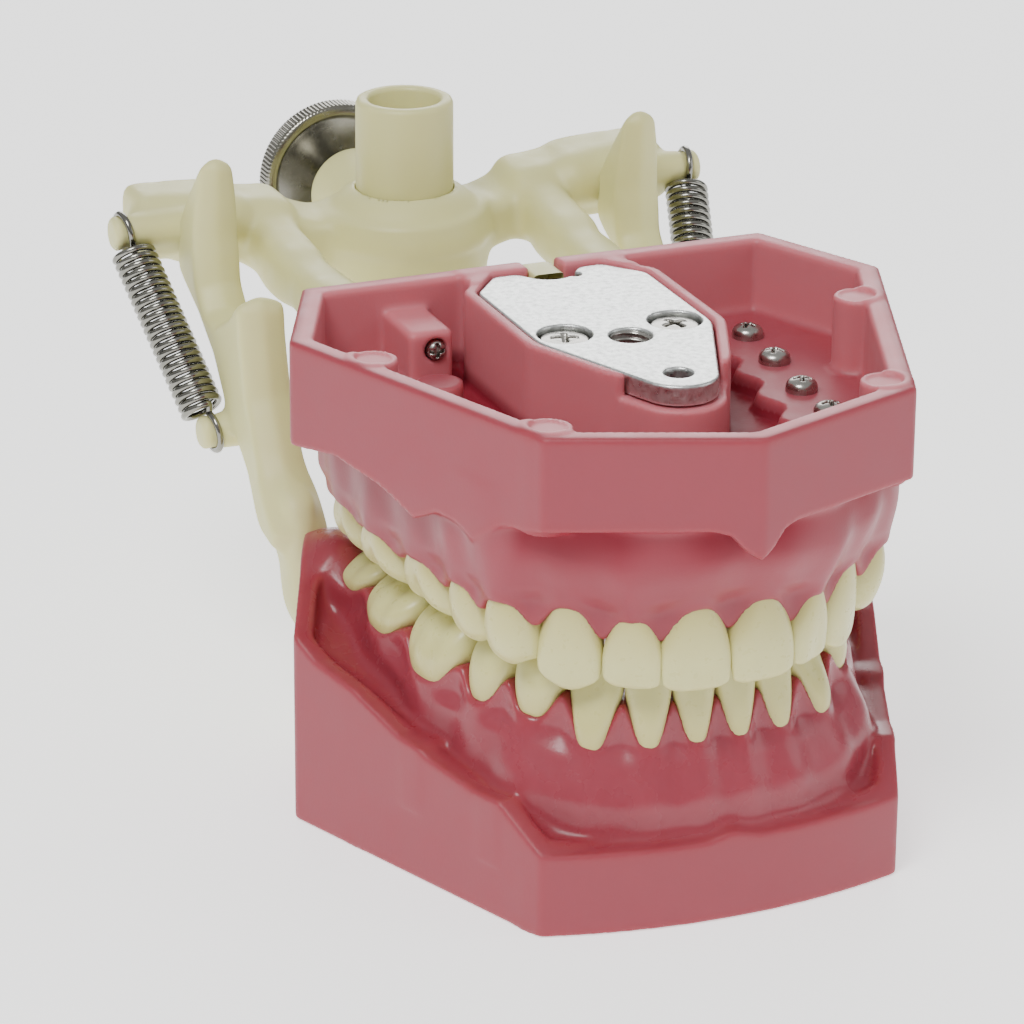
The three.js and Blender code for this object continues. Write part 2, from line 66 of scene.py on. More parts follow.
# Sizes taken from the frame
UPPER_HIGH = span("upper_jaw")[1]
RIM_Z = UPPER_HIGH[2]
HEEL_X = UPPER_HIGH[0]
BACK_Y = UPPER_HIGH[1]
SLEEVE_LOW, SLEEVE_HIGH = span("mounting_sleeve")
HUB_Y = (SLEEVE_LOW[1] + SLEEVE_HIGH[1]) / 2
SLEEVE_R = (SLEEVE_HIGH[0] - SLEEVE_LOW[0]) / 2
SLEEVE_TOP = SLEEVE_HIGH[2]
KNOB_LOW, KNOB_HIGH = span("clamp_knob")
KNOB_Z = (KNOB_LOW[2] + KNOB_HIGH[2]) / 2
KNOB_R = (KNOB_HIGH[2] - KNOB_LOW[2]) / 2
KNOB_BACK = KNOB_HIGH[1]
PLATE_LOW, PLATE_HIGH = span("upper_mount_plate")
PLATE_TOP, PLATE_UNDER = PLATE_HIGH[2], PLATE_LOW[2]

# Sizes shared with the CAD design
HEEL_Y = 50.4
BACK_X = 30.9
CANINE = (23.5, 9.1)
LOWER_FRONT_Y = 5.5
WALL = 2.9
HINGE = (114.0, 56.4)
SLEEVE_BORE_R = 4.75
BOSS_BACK_Y = 134.0
KNOB_THICK = 3.6
UPPER_LOOP = np.array([39.9, 111.5, 57.4])
LOWER_LOOP = np.array([34.9, 91.9, 36.0])
PEG_R = 2.35
WIRE_R = 0.45
FLANK_Y = 39.5
NOSE = (24.3, 4.8)
THREAD = (38.3, 2.6)
PLATE_SCREW = (7.2, 41.5)

# Grid steps of the carved solids
STEP = 0.42
TOOTH_STEP = 0.27
METAL_STEP = 0.24

# Teeth from the midline back
TEETH = ("central_incisor", "lateral_incisor", "canine", "first_premolar", "second_premolar",
         "first_molar", "second_molar", "third_molar")
FRONT_TEETH = 3
SIDES = ((-1, "right"), (1, "left"))


# ---------------------------------------------------------------- solids as distance fields
def smin(a, b, soft):
    near = np.maximum(soft - np.abs(a - b), 0) / soft
    return np.minimum(a, b) - near * near * (soft / 4)


def smax(a, b, soft):
    return -smin(-a, -b, soft)


def ease(t):
    t = np.clip(t, 0, 1)
    return t * t * (3 - 2 * t)


def bell(t):
    return np.exp(-t * t)


def unit(vector):
    return vector / np.linalg.norm(vector)


def hermite(t, start, leave, end, arrive):
    """Cubic between two points with its slopes at both, t from 0 to 1."""
    return ((2 * t ** 3 - 3 * t ** 2 + 1) * start + (t ** 3 - 2 * t ** 2 + t) * leave
            + (3 * t ** 2 - 2 * t ** 3) * end + (t ** 3 - t ** 2) * arrive)


def curve(t, knots):
    """Smooth polynomial through a few (position, value) knots."""
    at, value = zip(*knots)
    return np.polyval(np.polyfit(at, value, len(knots) - 1), np.clip(t, at[0], at[-1]))


class Field:
    """A solid as distances on a grid, in millimetres, negative inside."""

    def __init__(self, low, high, step=STEP):
        self.step = step
        self.low = np.array(low, float) - 2 * step
        counts = np.ceil((np.array(high) + 2 * step - self.low) / step).astype(int) + 1
        self.lines = [(start + step * np.arange(count)).astype(np.float32)
                      for start, count in zip(self.low, counts)]
        self.x, self.y, self.z = np.meshgrid(*self.lines, indexing="ij", sparse=True)
        self.d = np.full(tuple(counts), 60, np.float32)

    def window(self, box):
        if box is None:
            return (slice(None),) * 3
        ends = [np.searchsorted(line, (low, high)) for line, low, high in zip(self.lines, *box)]
        return tuple(slice(a, max(b, a + 1)) for a, b in ends)

    def change(self, shape, mix, box):
        at = self.window(box)
        here = shape(self.x[at[0]], self.y[:, at[1]], self.z[:, :, at[2]])
        self.d[at] = mix(self.d[at], here)

    def add(self, shape, soft=0.01, box=None):
        self.change(shape, lambda old, new: smin(old, new, soft), box)

    def cut(self, shape, soft=0.01, box=None):
        self.change(shape, lambda old, new: smax(old, -new, soft), box)

    def soften(self, times):
        """Rounds every edge a little."""
        for _ in range(times):
            for axis in range(3):
                d = np.moveaxis(self.d, axis, 0)
                d[1:-1] = d[1:-1] / 2 + (d[:-2] + d[2:]) / 4

    def sample(self, points):
        at = (points - self.low) / self.step
        last = np.array(self.d.shape) - 2
        base = np.clip(np.floor(at).astype(int), 0, last)
        part = np.clip(at - base, 0, 1)
        total = np.zeros(len(points))
        for corner in np.ndindex(2, 2, 2):
            u, v, w = np.abs(1 - np.array(corner) - part).T
            total += u * v * w * self.d[tuple((base + corner).T)]
        return total

    def slope(self, points):
        reach = self.step * 0.8
        parts = [self.sample(points + shift) - self.sample(points - shift)
                 for shift in np.eye(3) * reach]
        return np.stack(parts, 1) / (2 * reach)

    def skin(self):
        """Points, quads and normals of the surface, by the surface nets method."""
        inside = self.d < 0
        shape = self.d.shape
        strides = np.array([shape[1] * shape[2], shape[2], 1])
        cells, places, quads = [], [], []
        for axis in range(3):
            first = np.moveaxis(inside, axis, 0)[:-1]
            second = np.moveaxis(inside, axis, 0)[1:]
            at = np.argwhere(first != second)
            order = [1, 2]
            order.insert(axis, 0)
            at = at[:, order]
            flat = at @ strides
            values = self.d.ravel()
            a, b = values[flat], values[flat + strides[axis]]
            point = at.astype(float)
            point[:, axis] += a / (a - b)
            u, v = strides[(axis + 1) % 3], strides[(axis + 2) % 3]
            around = np.stack([flat - u - v, flat - v, flat, flat - u], 1)
            around[a >= 0] = around[a >= 0][:, ::-1]
            cells.append(around.ravel())
            places.append(np.repeat(point, 4, axis=0))
            quads.append(around)
        names, index = np.unique(np.concatenate(cells), return_inverse=True)
        places = np.concatenate(places)
        count = np.bincount(index)
        points = np.stack([np.bincount(index, places[:, i]) / count for i in range(3)], 1)
        points = self.low + points * self.step
        quads = np.searchsorted(names, np.concatenate(quads))
        slope = self.slope(points)
        size = np.maximum(np.linalg.norm(slope, axis=1, keepdims=True), 0.2)
        move = self.sample(points)[:, None] * slope / size ** 2
        points -= np.clip(move, -0.3 * self.step, 0.3 * self.step)
        slope = self.slope(points)
        normals = slope / np.maximum(np.linalg.norm(slope, axis=1, keepdims=True), 1e-6)
        return points, quads, normals


def ellipsoid(centre, radii):
    def shape(x, y, z):
        parts = [((p - c) / r) ** 2 for p, c, r in zip((x, y, z), centre, radii)]
        return (np.sqrt(parts[0] + parts[1] + parts[2]) - 1) * min(radii)
    return shape


def part_way(start, axis, x, y, z):
    """How far along a line every point is, 0 at its start and 1 at its end."""
    t = (x - start[0]) * axis[0] + (y - start[1]) * axis[1] + (z - start[2]) * axis[2]
    return np.clip(t / (axis @ axis), 0, 1)


def capsule(start, end, radius):
    """Round-ended bar."""
    start, end = np.array(start, float), np.array(end, float)
    axis = end - start

    def shape(x, y, z):
        t = part_way(start, axis, x, y, z)
        away = [p - s - t * a for p, s, a in zip((x, y, z), start, axis)]
        return np.sqrt(away[0] ** 2 + away[1] ** 2 + away[2] ** 2) - radius
    return shape


def limb(c0, h0, c1, h1, boxy):
    """Boxy round limb between two stations, each with a centre and half sizes."""
    axis = c1 - c0

    def shape(x, y, z):
        t = part_way(c0, axis, x, y, z)
        total = 0
        for p, c, a, r0, r1 in zip((x, y, z), c0, axis, h0, h1):
            total = total + np.abs((p - c - t * a) / (r0 + (r1 - r0) * t)) ** boxy
        return (total ** (1 / boxy) - 1) * min(*h0, *h1)
    return shape


def chain(f, side, stations, soft, boxy=3.0):
    """Limbs from station to station, each one a centre on the left side and half sizes."""
    stations = [(np.array([side * c[0], c[1], c[2]]), np.array(h)) for c, h in stations]
    for (c0, h0), (c1, h1) in zip(stations, stations[1:]):
        low = np.minimum(c0 - h0, c1 - h1) - soft - 1
        high = np.maximum(c0 + h0, c1 + h1) + soft + 1
        f.add(limb(c0, h0, c1, h1, boxy), soft, (low, high))


def cylinder(axis, centre, radius, low, high, soft=0.4):
    """Cylinder along axis 0, 1 or 2 between low and high on that axis."""
    others = [i for i in range(3) if i != axis]

    def shape(x, y, z):
        p = (x, y, z)
        away = np.hypot(p[others[0]] - centre[0], p[others[1]] - centre[1]) - radius
        ends = np.abs(p[axis] - (low + high) / 2) - (high - low) / 2
        return smax(away, ends, soft)
    return shape


def brick(low, high, soft=0.6):
    def shape(x, y, z):
        sides = [np.abs(p - (a + b) / 2) - (b - a) / 2 for p, a, b in zip((x, y, z), low, high)]
        return smax(smax(sides[0], sides[1], soft), sides[2], soft)
    return shape


def mirrored(side, low, high):
    """Window from low to high on the left side, or its mirror image."""
    x0, x1 = sorted((side * low[0], side * high[0]))
    return (x0, *low[1:]), (x1, *high[1:])


def bore(f, centre, radius, low, high, soft=0.3):
    """Upright hole."""
    x, y = centre
    reach = radius + 2.8
    window = ((x - reach, y - reach, low - 2), (x + reach, y + reach, high + 1))
    f.cut(cylinder(2, centre, radius, low, high, soft), soft, window)


def convex(x, y, corners, soft):
    """Distance to a convex outline, its corners given anticlockwise."""
    total = None
    for (x0, y0), (x1, y1) in zip(corners, corners[1:] + corners[:1]):
        ex, ey = x1 - x0, y1 - y0
        side = ((x - x0) * ey - (y - y0) * ex) / math.hypot(ex, ey)
        total = side if total is None else smax(total, side, soft)
    return total


def polygon(u, v, corners):
    """Distance to any closed outline, negative inside."""
    best = np.full(np.broadcast(u, v).shape, 1e6, np.float32)
    inside = np.zeros(best.shape, bool)
    for (u0, v0), (u1, v1) in zip(corners, corners[1:] + corners[:1]):
        du, dv = u1 - u0, v1 - v0
        t = np.clip(((u - u0) * du + (v - v0) * dv) / (du * du + dv * dv), 0, 1)
        best = np.minimum(best, (u - u0 - t * du) ** 2 + (v - v0 - t * dv) ** 2)
        inside ^= ((v0 > v) != (v1 > v)) & (u < u0 + (v - v0) * du / (dv if dv else 1e-9))
    return np.where(inside, -1, 1) * np.sqrt(best)


# ---------------------------------------------------------------- meshes
def place(points):
    return (np.asarray(points) + [0, FRONT_Y, 0]) * MM


def add_object(name, data):
    obj = bpy.data.objects.new(name, data)
    bpy.context.scene.collection.objects.link(obj)
    return obj


def new_piece(name, points, faces, material, normals=None, **values):
    """Mesh object from points in millimetres and faces with the same number of corners each.
    Every name in values becomes a point attribute, from one number or one for each point."""
    faces = np.asarray(faces)
    mesh = bpy.data.meshes.new(name)
    mesh.vertices.add(len(points))
    mesh.vertices.foreach_set("co", place(points).astype(np.float32).ravel())
    mesh.loops.add(faces.size)
    mesh.loops.foreach_set("vertex_index", faces.astype(np.int32).ravel())
    mesh.polygons.add(len(faces))
    mesh.polygons.foreach_set("loop_start", np.arange(len(faces), dtype=np.int32) * faces.shape[1])
    mesh.update(calc_edges=True)
    mesh.validate()
    mesh.polygons.foreach_set("use_smooth", np.ones(len(mesh.polygons), bool))
    if normals is not None:
        mesh.normals_split_custom_set_from_vertices(normals.tolist())
    for key, value in values.items():
        layer = mesh.attributes.new(key, "FLOAT", "POINT")
        layer.data.foreach_set("value", np.full(len(points), value, np.float32))
    mesh.materials.append(material)
    return add_object(name, mesh)


def carve(name, field, material, thin_reach=1.1, **values):
    """Piece from a field, with how thin or sharp the solid is at each point. Further values
    are worked out from x, y, z and the upward part of the normal."""
    points, quads, normals = field.skin()
    under = field.sample(points - normals * thin_reach) / thin_reach
    extra = {key: value(*points.T, normals[:, 2]) for key, value in values.items()}
    return new_piece(name, points, quads, material, normals,
                     thin=np.clip(under + 1, -0.5, 1), **extra)


def stamp(name, shape, turn, origin, material, **values):
    """Copy of a skin (points, quads, normals), turned and moved."""
    points, quads, normals = shape
    turn = np.array(turn, float)
    faces = quads if np.linalg.det(turn) > 0 else quads[:, ::-1]
    return new_piece(name, points @ turn + origin, faces, material, normals @ turn, **values)


def finish_piece(piece, body, slot, *nodes):
    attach(piece, body)
    if nodes:
        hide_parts(*nodes)


def tube(name, rings, material, flip=False, **values):
    """Skin over rings of points, each with as many points as the next one."""
    sides = len(rings[0])
    ring, j = np.arange(len(rings) - 1)[:, None] * sides, np.arange(sides)
    k = (j + 1) % sides
    quads = np.stack([ring + j, ring + k, ring + sides + k, ring + sides + j], 2).reshape(-1, 4)
    if flip:
        quads = quads[:, [0, 3, 2, 1]]
    return new_piece(name, np.concatenate(rings), quads, material, **values)


def lathe(name, profile, axis, centre, material, sides=96, ripple=None, **values):
    """Turned piece. The profile is (radius, along), closed on the axis or on itself; ripple
    gives (count, depth) for rows whose radius is marked by a third value."""
    turn = np.linspace(0, 2 * math.pi, sides, endpoint=False)
    rings = []
    for row in profile:
        radius = np.full(sides, float(row[0]))
        if ripple and len(row) > 2:
            radius -= ripple[1] * (0.5 + 0.5 * np.cos(turn * ripple[0]))
        u, v, w = radius * np.cos(turn), radius * np.sin(turn), np.full(sides, float(row[1]))
        rings.append(np.stack([u, w, v] if axis == 1 else [u, v, w], 1) + centre)
    return tube(name, rings, material, flip=axis != 1, **values)


# ---------------------------------------------------------------- materials
def rgb(red, green, blue):
    """Linear colour from 0-255 display values."""
    linear = [((v / 255 + 0.055) / 1.055) ** 2.4 for v in (red, green, blue)]
    return (*linear, 1.0)


class Nodes:
    """Short ways to add shader nodes to a tree."""

    def __init__(self, tree):
        self.tree = tree

    def node(self, kind, inputs=(), **settings):
        """A node with its settings and its inputs, by name or number."""
        made = self.tree.nodes.new(kind)
        for key, value in settings.items():
            setattr(made, key, value)
        for key, value in dict(inputs).items():
            self.feed(made.inputs[key], value)
        return made

    def feed(self, socket, value):
        if isinstance(value, bpy.types.NodeSocket):
            self.tree.links.new(value, socket)
        else:
            socket.default_value = value

    def mix(self, factor, low, high):
        colours = {0: factor, 6: low, 7: high}
        return self.node("ShaderNodeMix", colours, data_type="RGBA").outputs[2]

    def spread(self, *values):
        """A value moved from one range to another: value, low, high, new low, new high."""
        return self.node("ShaderNodeMapRange", enumerate(values)).outputs[0]

    def maths(self, operation, *values):
        return self.node("ShaderNodeMath", enumerate(values), operation=operation).outputs[0]


class Surface(Nodes):
    """A material with a Principled shader and object coordinates."""

    def __init__(self, name):
        self.material = bpy.data.materials.new(name)
        self.material.use_nodes = True
        super().__init__(self.material.node_tree)
        self.shader = self.tree.nodes["Principled BSDF"]
        self.coords = self.node("ShaderNodeTexCoord").outputs["Object"]

    def noise(self, scale, detail=3.0, stretch=None):
        source = self.coords
        if stretch:
            scaled = {"Scale": stretch, "Vector": source}
            source = self.node("ShaderNodeMapping", scaled).outputs[0]
        inputs = {"Scale": scale, "Detail": detail, "Vector": source}
        return self.node("ShaderNodeTexNoise", inputs).outputs["Fac"]

    def value(self, name):
        return self.node("ShaderNodeAttribute", attribute_name=name).outputs["Fac"]

    def set(self, **inputs):
        for key, value in inputs.items():
            self.feed(self.shader.inputs[key.replace("_", " ")], value)

    def bump(self, height, distance, strength):
        inputs = {"Strength": strength, "Distance": distance, "Height": height}
        self.set(Normal=self.node("ShaderNodeBump", inputs).outputs[0])


def gum_plastic():
    s = Surface("gum_plastic")
    blotch = s.noise(260, 4)
    shade = s.value("shade")
    # tones mixed by how thin the moulding is, a painted stand-in for light through thin walls; the
    # two tones are close
    deep = s.mix(blotch, rgb(145, 58, 70), rgb(151, 64, 76))
    pale = s.mix(blotch, rgb(146, 50, 61), rgb(151, 56, 66))
    colour = s.mix(s.spread(s.value("thin"), -0.25, 0.85, 0, 1), deep, pale)
    # painted shade: the gum turns deeper crimson in the fold under the upper edge and along the
    # lower trough, with less glare there
    colour = s.mix(s.maths("MULTIPLY", shade, 0.75), colour, rgb(128, 26, 42))
    # painted light: walls inside the upper tray turn paler, standing for light that comes through
    # them
    colour = s.mix(s.value("lift"), colour, rgb(214, 126, 134))
    dry = s.spread(blotch, 0.3, 0.7, 0.42, 0.52)
    gloss = s.spread(s.value("wet"), 0, 1, 0, -0.2)
    s.set(Base_Color=colour, Roughness=s.maths("ADD", dry, gloss), IOR=1.45,
          Specular_IOR_Level=s.spread(shade, 0, 1, 0.5, 0.1), Subsurface_Weight=0.35,
          Subsurface_Scale=0.003, Subsurface_Radius=(1.0, 0.35, 0.35))
    grain = s.maths("ADD", s.maths("MULTIPLY", s.noise(700, 2), 0.6), s.noise(2600, 3))
    s.bump(grain, 0.00003, 0.5)
    return s.material


def tooth_resin():
    s = Surface("tooth_resin")
    crown = s.mix(s.noise(500, 4), rgb(208, 203, 138), rgb(215, 211, 148))
    colour = s.mix(s.spread(s.value("neck"), 0.35, 1.1, 0, 1), crown, rgb(198, 188, 118))
    s.set(Base_Color=colour, Roughness=s.spread(s.noise(900, 3), 0.3, 0.7, 0.26, 0.36), IOR=1.5,
          Subsurface_Weight=0.2, Subsurface_Scale=0.0015, Subsurface_Radius=(1.0, 0.8, 0.5),
          Coat_Weight=0.1, Coat_Roughness=0.2)
    s.bump(s.noise(1800, 3, (1, 1, 0.5)), 0.00004, 0.5)
    return s.material


def frame_plastic():
    s = Surface("frame_plastic")
    colour = s.mix(s.noise(140, 4), rgb(214, 210, 146), rgb(220, 217, 154))
    # painted light: thin edges and rims turn paler cream, standing for light through the thin
    # plastic
    colour = s.mix(s.spread(s.value("thin"), 0, 1, 0, 0.5), colour, rgb(216, 213, 162))
    s.set(Base_Color=colour, Roughness=s.spread(s.noise(420, 3), 0.3, 0.7, 0.4, 0.54), IOR=1.5,
          Subsurface_Weight=0.15, Subsurface_Scale=0.002, Subsurface_Radius=(1.0, 0.8, 0.5))
    s.bump(s.noise(1500, 3), 0.00004, 0.5)
    return s.material


def steel(name, low, high, rough_low, rough_high, scale=600, depth=0.00002):
    s = Surface(name)
    mottle = s.noise(scale, 5)
    s.set(Base_Color=s.mix(mottle, low, high), Metallic=1.0,
          Roughness=s.spread(mottle, 0.3, 0.7, rough_low, rough_high))
    s.bump(s.noise(scale * 3, 3), depth, 0.6)
    return s.material


GUM = gum_plastic()
RESIN = tooth_resin()
CREAM = frame_plastic()
PLATE_STEEL = steel("plate_steel", rgb(184, 187, 185), rgb(226, 228, 226), 0.24, 0.5, scale=1300,
                    depth=0.00004)
SCREW_STEEL = steel("screw_steel", rgb(150, 148, 142), rgb(186, 184, 178), 0.2, 0.34)
SPRING_STEEL = steel("spring_steel", rgb(118, 117, 110), rgb(150, 149, 142), 0.14, 0.24)
KNOB_STEEL = steel("knob_steel", rgb(128, 126, 116), rgb(146, 144, 134), 0.2, 0.28,
                   scale=700, depth=0.000005)


# ---------------------------------------------------------------- arches
class Arch:
    """A cusp line with its teeth. Points are [x, y] from the midline back, on the left side."""

    def __init__(self, points, widths, depths, lean, neck_z, tip_z):
        self.line = self.smooth(points)
        steps = np.hypot(*np.diff(self.line, axis=0).T)
        self.length = np.concatenate([[0], np.cumsum(steps)])
        ends = np.cumsum(widths)
        self.starts = np.concatenate([[0], ends[:-1]])
        self.widths, self.depths = np.array(widths), np.array(depths)
        self.lean, self.neck_z, self.tip_z = np.array(lean), np.array(neck_z), np.array(tip_z)
        self.centres = self.starts + self.widths / 2

    @staticmethod
    def smooth(points, per_span=14):
        p = np.array(points, float)
        p = np.vstack([[-p[1][0], p[1][1]], p, 2 * p[-1] - p[-2]])
        t = np.concatenate([[0], np.cumsum(np.hypot(*np.diff(p, axis=0).T) ** 0.5)])
        u = np.linspace(0, 1, per_span, endpoint=False)[:, None]
        out = []
        for i in range(1, len(p) - 2):
            slopes = [((p[k] - p[k - 1]) / (t[k] - t[k - 1])
                       - (p[k + 1] - p[k - 1]) / (t[k + 1] - t[k - 1])
                       + (p[k + 1] - p[k]) / (t[k + 1] - t[k])) * (t[i + 1] - t[i])
                      for k in (i, i + 1)]
            out.append(hermite(u, p[i], slopes[0], p[i + 1], slopes[1]))
        return np.vstack(out + [p[-2]])

    def spot(self, s):
        return np.array([np.interp(s, self.length, self.line[:, i]) for i in (0, 1)])

    def at(self, s):
        """Point on the cusp line and the direction of the line there."""
        return self.spot(s), unit(self.spot(s + 0.5) - self.spot(s - 0.5))

    def coords(self, x, y):
        """Length along the cusp line and distance outwards from it, for a grid of points."""
        x, y = np.broadcast_arrays(np.abs(x), y)
        best = np.full(x.shape, 1e9)
        s, off = np.zeros(x.shape), np.zeros(x.shape)
        last = len(self.line) - 2
        for i in range(last + 1):
            (x0, y0), (x1, y1) = self.line[i], self.line[i + 1]
            dx, dy = x1 - x0, y1 - y0
            size = math.hypot(dx, dy)
            t = ((x - x0) * dx + (y - y0) * dy) / size
            t = np.clip(t, 0, 60 if i == last else size)
            away = (x - x0 - t * dx / size) ** 2 + (y - y0 - t * dy / size) ** 2
            side = ((x - x0) * dy - (y - y0) * dx) / size
            closer = away < best
            best = np.where(closer, away, best)
            s = np.where(closer, self.length[i] + t, s)
            off = np.where(closer, np.where(side > 0, 1, -1) * np.sqrt(away), off)
        return s.astype(np.float32), off.astype(np.float32)

    def along(self, s, values):
        return np.interp(s, self.centres, values).astype(np.float32)

    def phase(self, s):
        """0 at the middle of a tooth, 1 between teeth."""
        which = np.clip(np.searchsorted(self.starts, s, side="right") - 1, 0, len(TEETH) - 1)
        gap = np.abs(s - self.centres[which]) / (self.widths[which] / 2)
        return np.clip(gap, 0, 1).astype(np.float32)


UPPER = Arch(
    [[0, 7.3], [8.6, 8.4], [15, 12.3], [19.3, 15.6], [23.3, 19.6], [25, 26.5], [26.1, 36],
     [27.3, 46], [28, 56], [27.9, 63]],
    [8.7, 7.2, 8, 7.4, 7.6, 10.7, 10.6, 9.4], [6.2, 5.6, 7.2, 8.6, 8.8, 10.6, 10.4, 9.6],
    [-0.4, 0.2, 0.4, 1.8, 2, 2.6, 3, 2.4], [39.3, 37.9, 39.1, 39.1, 38.8, 38.6, 38.4, 38.4],
    [29.1, 29.5, 28.6, 30.3, 30.7, 31.0, 31.2, 31.4])
LOWER = Arch(
    [[0, 11.3], [5.6, 11.8], [10.7, 13.7], [15, 16.8], [19, 21.2], [21.6, 27.5], [23.7, 36],
     [25.2, 46], [25.8, 57], [25.8, 64]],
    [5.5, 5.9, 6.9, 7.2, 7.4, 11.2, 10.6, 9.8], [5.4, 5.6, 6.8, 7.4, 8, 9.8, 9.6, 9],
    [0.7, 1, 2.2, 2.2, 2.8, 4.2, 4.2, 3.8], [21.7, 21.6, 21.9, 24.0, 23.6, 23.7, 25.7, 27.0],
    [31.6, 31.6, 32.0, 31.8, 31.7, 31.65, 31.65, 31.65])


# ---------------------------------------------------------------- gums
def gum_band(arch, s, off, z, up, reach):
    """Gum around the tooth necks. up is 1 for the upper jaw and -1 for the lower one; reach is
    how far its outer face stands off the cusp line over the roots."""
    between = (1 - np.cos(math.pi * arch.phase(s))) / 2
    neck_line = arch.along(s, arch.neck_z) * up
    papilla = arch.along(s, [3.3, 3.3, 3.2, 2.5, 2.1, 1.8, 1.6, 1.3]) * (1.2 - 0.2 * up)
    deep = z * up - neck_line + papilla * between ** 1.7
    below = z * up - neck_line
    neck_out = arch.along(s, arch.lean)
    neck_in = neck_out - arch.along(s, arch.depths) * 0.93
    flute = (1 - 2 * between) * bell((below - 5) / 4)
    outer = neck_out + 0.5 - 1.1 * between * (1 - ease(below / 3))
    outer = outer + (reach - neck_out - 0.5) * ease(below / 8) + 0.28 * flute
    inner = neck_in - 0.5 + 0.7 * between - 1.6 * ease(below / 6)
    band = smax(off - outer, inner - off, 1.2)
    return smax(band, -deep * 0.9, 0.9)


def base_corners(front_y):
    """Corners of a trimmed base, anticlockwise from the left canine."""
    return [(CANINE[0], CANINE[1]), (HEEL_X, HEEL_Y), (BACK_X, BACK_Y), (-BACK_X, BACK_Y),
            (-HEEL_X, HEEL_Y), (-CANINE[0], CANINE[1]), (0, front_y)]


def upper_outline(x, y):
    return convex(x, y, base_corners(0), 0.4)


def lower_outline(x, y):
    bow = CANINE[1] - LOWER_FRONT_Y
    radius = (CANINE[0] ** 2 + bow ** 2) / (2 * bow)
    round_front = np.hypot(x, y - LOWER_FRONT_Y - radius) - radius
    sides = convex(x, y, base_corners(-42), 0.4)
    return smax(sides, round_front, 0.4)


def plate_outline(x, y):
    """Distance to the mount plate's outline: parallel flanks that narrow to a round nose."""
    half, back = PLATE_HIGH[0], PLATE_HIGH[1]
    flanks = convex(x, y, [(half, FLANK_Y), (half, back - 5), (half - 4, back),
                           (4 - half, back), (-half, back - 5), (-half, FLANK_Y), (0, 11.5)], 0.6)
    nose = np.hypot(x, y - NOSE[0]) - NOSE[1]
    return np.where(y < NOSE[0] - 1.4, np.maximum(nose, flanks), flanks)


# Height of the upper base's lower edge by the angle round the base, from the front point back
SKIRT_EDGE = ([0, 2.5, 5, 8, 37, 39, 47, 54.7, 59, 65, 72, 77, 82, 95, 105, 132, 180],
              [47.7, 48.8, 50.7, 51.2, 51.1, 50.8, 49.9, 47.1, 48.2, 48.3, 46.3, 47.6, 48.7,
               50.2, 49.3, 49.5, 50])
RIM_BOSSES = ((21.2, 13), (31.6, 41.5))
RIM_BOSS_R = 2.9
# Heights of the lower base's wall and of the trough inside it, by the distance from the front
WALL_TOP = ([5, 9.1, 16.2, 20.3, 26.9, 32.8, 40.4, 47, 50.4, 61.6, 68.2],
            [10.4, 10.5, 15.2, 15.1, 16.3, 17.7, 20.9, 22.4, 24.5, 29.6, 30.2])
TROUGH = ([5, 9.1, 12, 16, 20, 27, 40, 48, 56, 62, 68.2],
          [9.3, 9.5, 11, 13, 13.7, 15.2, 19, 21.2, 24, 27, 29])
# Ends of the bands between the lower gum and the wall, on the left side
FRENA = (((21, 20.5, 10.5), (26.5, 17.5, 11)), ((24, 33, 12.5), (32, 30, 13.5)))
# Heights in the upper base, then in the lower one
SKIRT_CEILING_Z = 51.6
TRAY_FLOOR_Z = 53.0
TRENCH_DEPTH = 2.3
PALATE_Z = 49.4
TONGUE_FLOOR_Z = 12.0
LOWER_HOLLOW_Z = 6.5
LOCK_SCREW = (-18, 56.9, 56.9)


def arch_grid(arch, f):
    """Length along an arch and distance out from it, over a field's grid."""
    s, off = arch.coords(f.x[:, :, 0], f.y[:, :, 0])
    return s[:, :, None], off[:, :, None]


def rim_bosses(f, outline, low, high, soft, hole):
    """Round bosses in the corners of the wall, trimmed flush with its outside. A hole in each
    one is given as its radius, ends and softness."""
    for x, y in [(side * x, y) for x, y in RIM_BOSSES for side in (-1, 1)]:
        f.add(lambda a, b, c: smax(cylinder(2, (x, y), RIM_BOSS_R, low, high)(a, b, c),
                                   outline(a, b), 0.5),
              soft, ((x - 5, y - 5, low - 1), (x + 5, y + 5, high + 2)))
        bore(f, (x, y), *hole)


def plate_pocket(f, up, slot_z):
    """Pocket of a mount plate, open at its nose, with the slot of the frame's key. Heights
    are those of the upper jaw, and the lower jaw has them upside down."""
    def level(z):
        return z if up > 0 else RIM_Z - z

    def cut(shape, half, front, back, low):
        heights = sorted((level(low), level(65)))
        f.cut(lambda x, y, z: shape(x, y, level(z)), 0.2,
              ((-half, front, heights[0]), (half, back, heights[1])))

    cut(lambda x, y, z: smax(plate_outline(x, y) - 0.25, PLATE_UNDER - 0.1 - z, 0.15),
        14, 15, 67, 55)
    cut(brick((-14, 10, PLATE_UNDER - 0.2), (14, NOSE[0] + 1.4, 70), 0.15), 14, 12, 28, 55)
    cut(brick((-2.4, 60.4, slot_z), (2.4, 72, 70), 0.15), 5, 58, 71, 52)


def upper_shell(f, out):
    """Solid upper base, its lower edge trimmed with notches and hollowed behind the edge."""
    angle = np.degrees(np.arctan2(np.abs(f.x), 40 - f.y))
    edge = np.interp(angle, *SKIRT_EDGE).astype(np.float32)
    notch = bell(f.x / 1.6) + bell((angle - 54.7) / 4) * 0.6 + bell((angle - 72) / 4) * 0.6
    rise = ease((-out - 1.3) / 2.0) * (1 - np.clip(notch, 0, 0.9))
    under = edge + (SKIRT_CEILING_Z - edge) * rise
    return smax(smax(out, f.z - RIM_Z, 0.6), (under - f.z) * 0.9, 0.5)


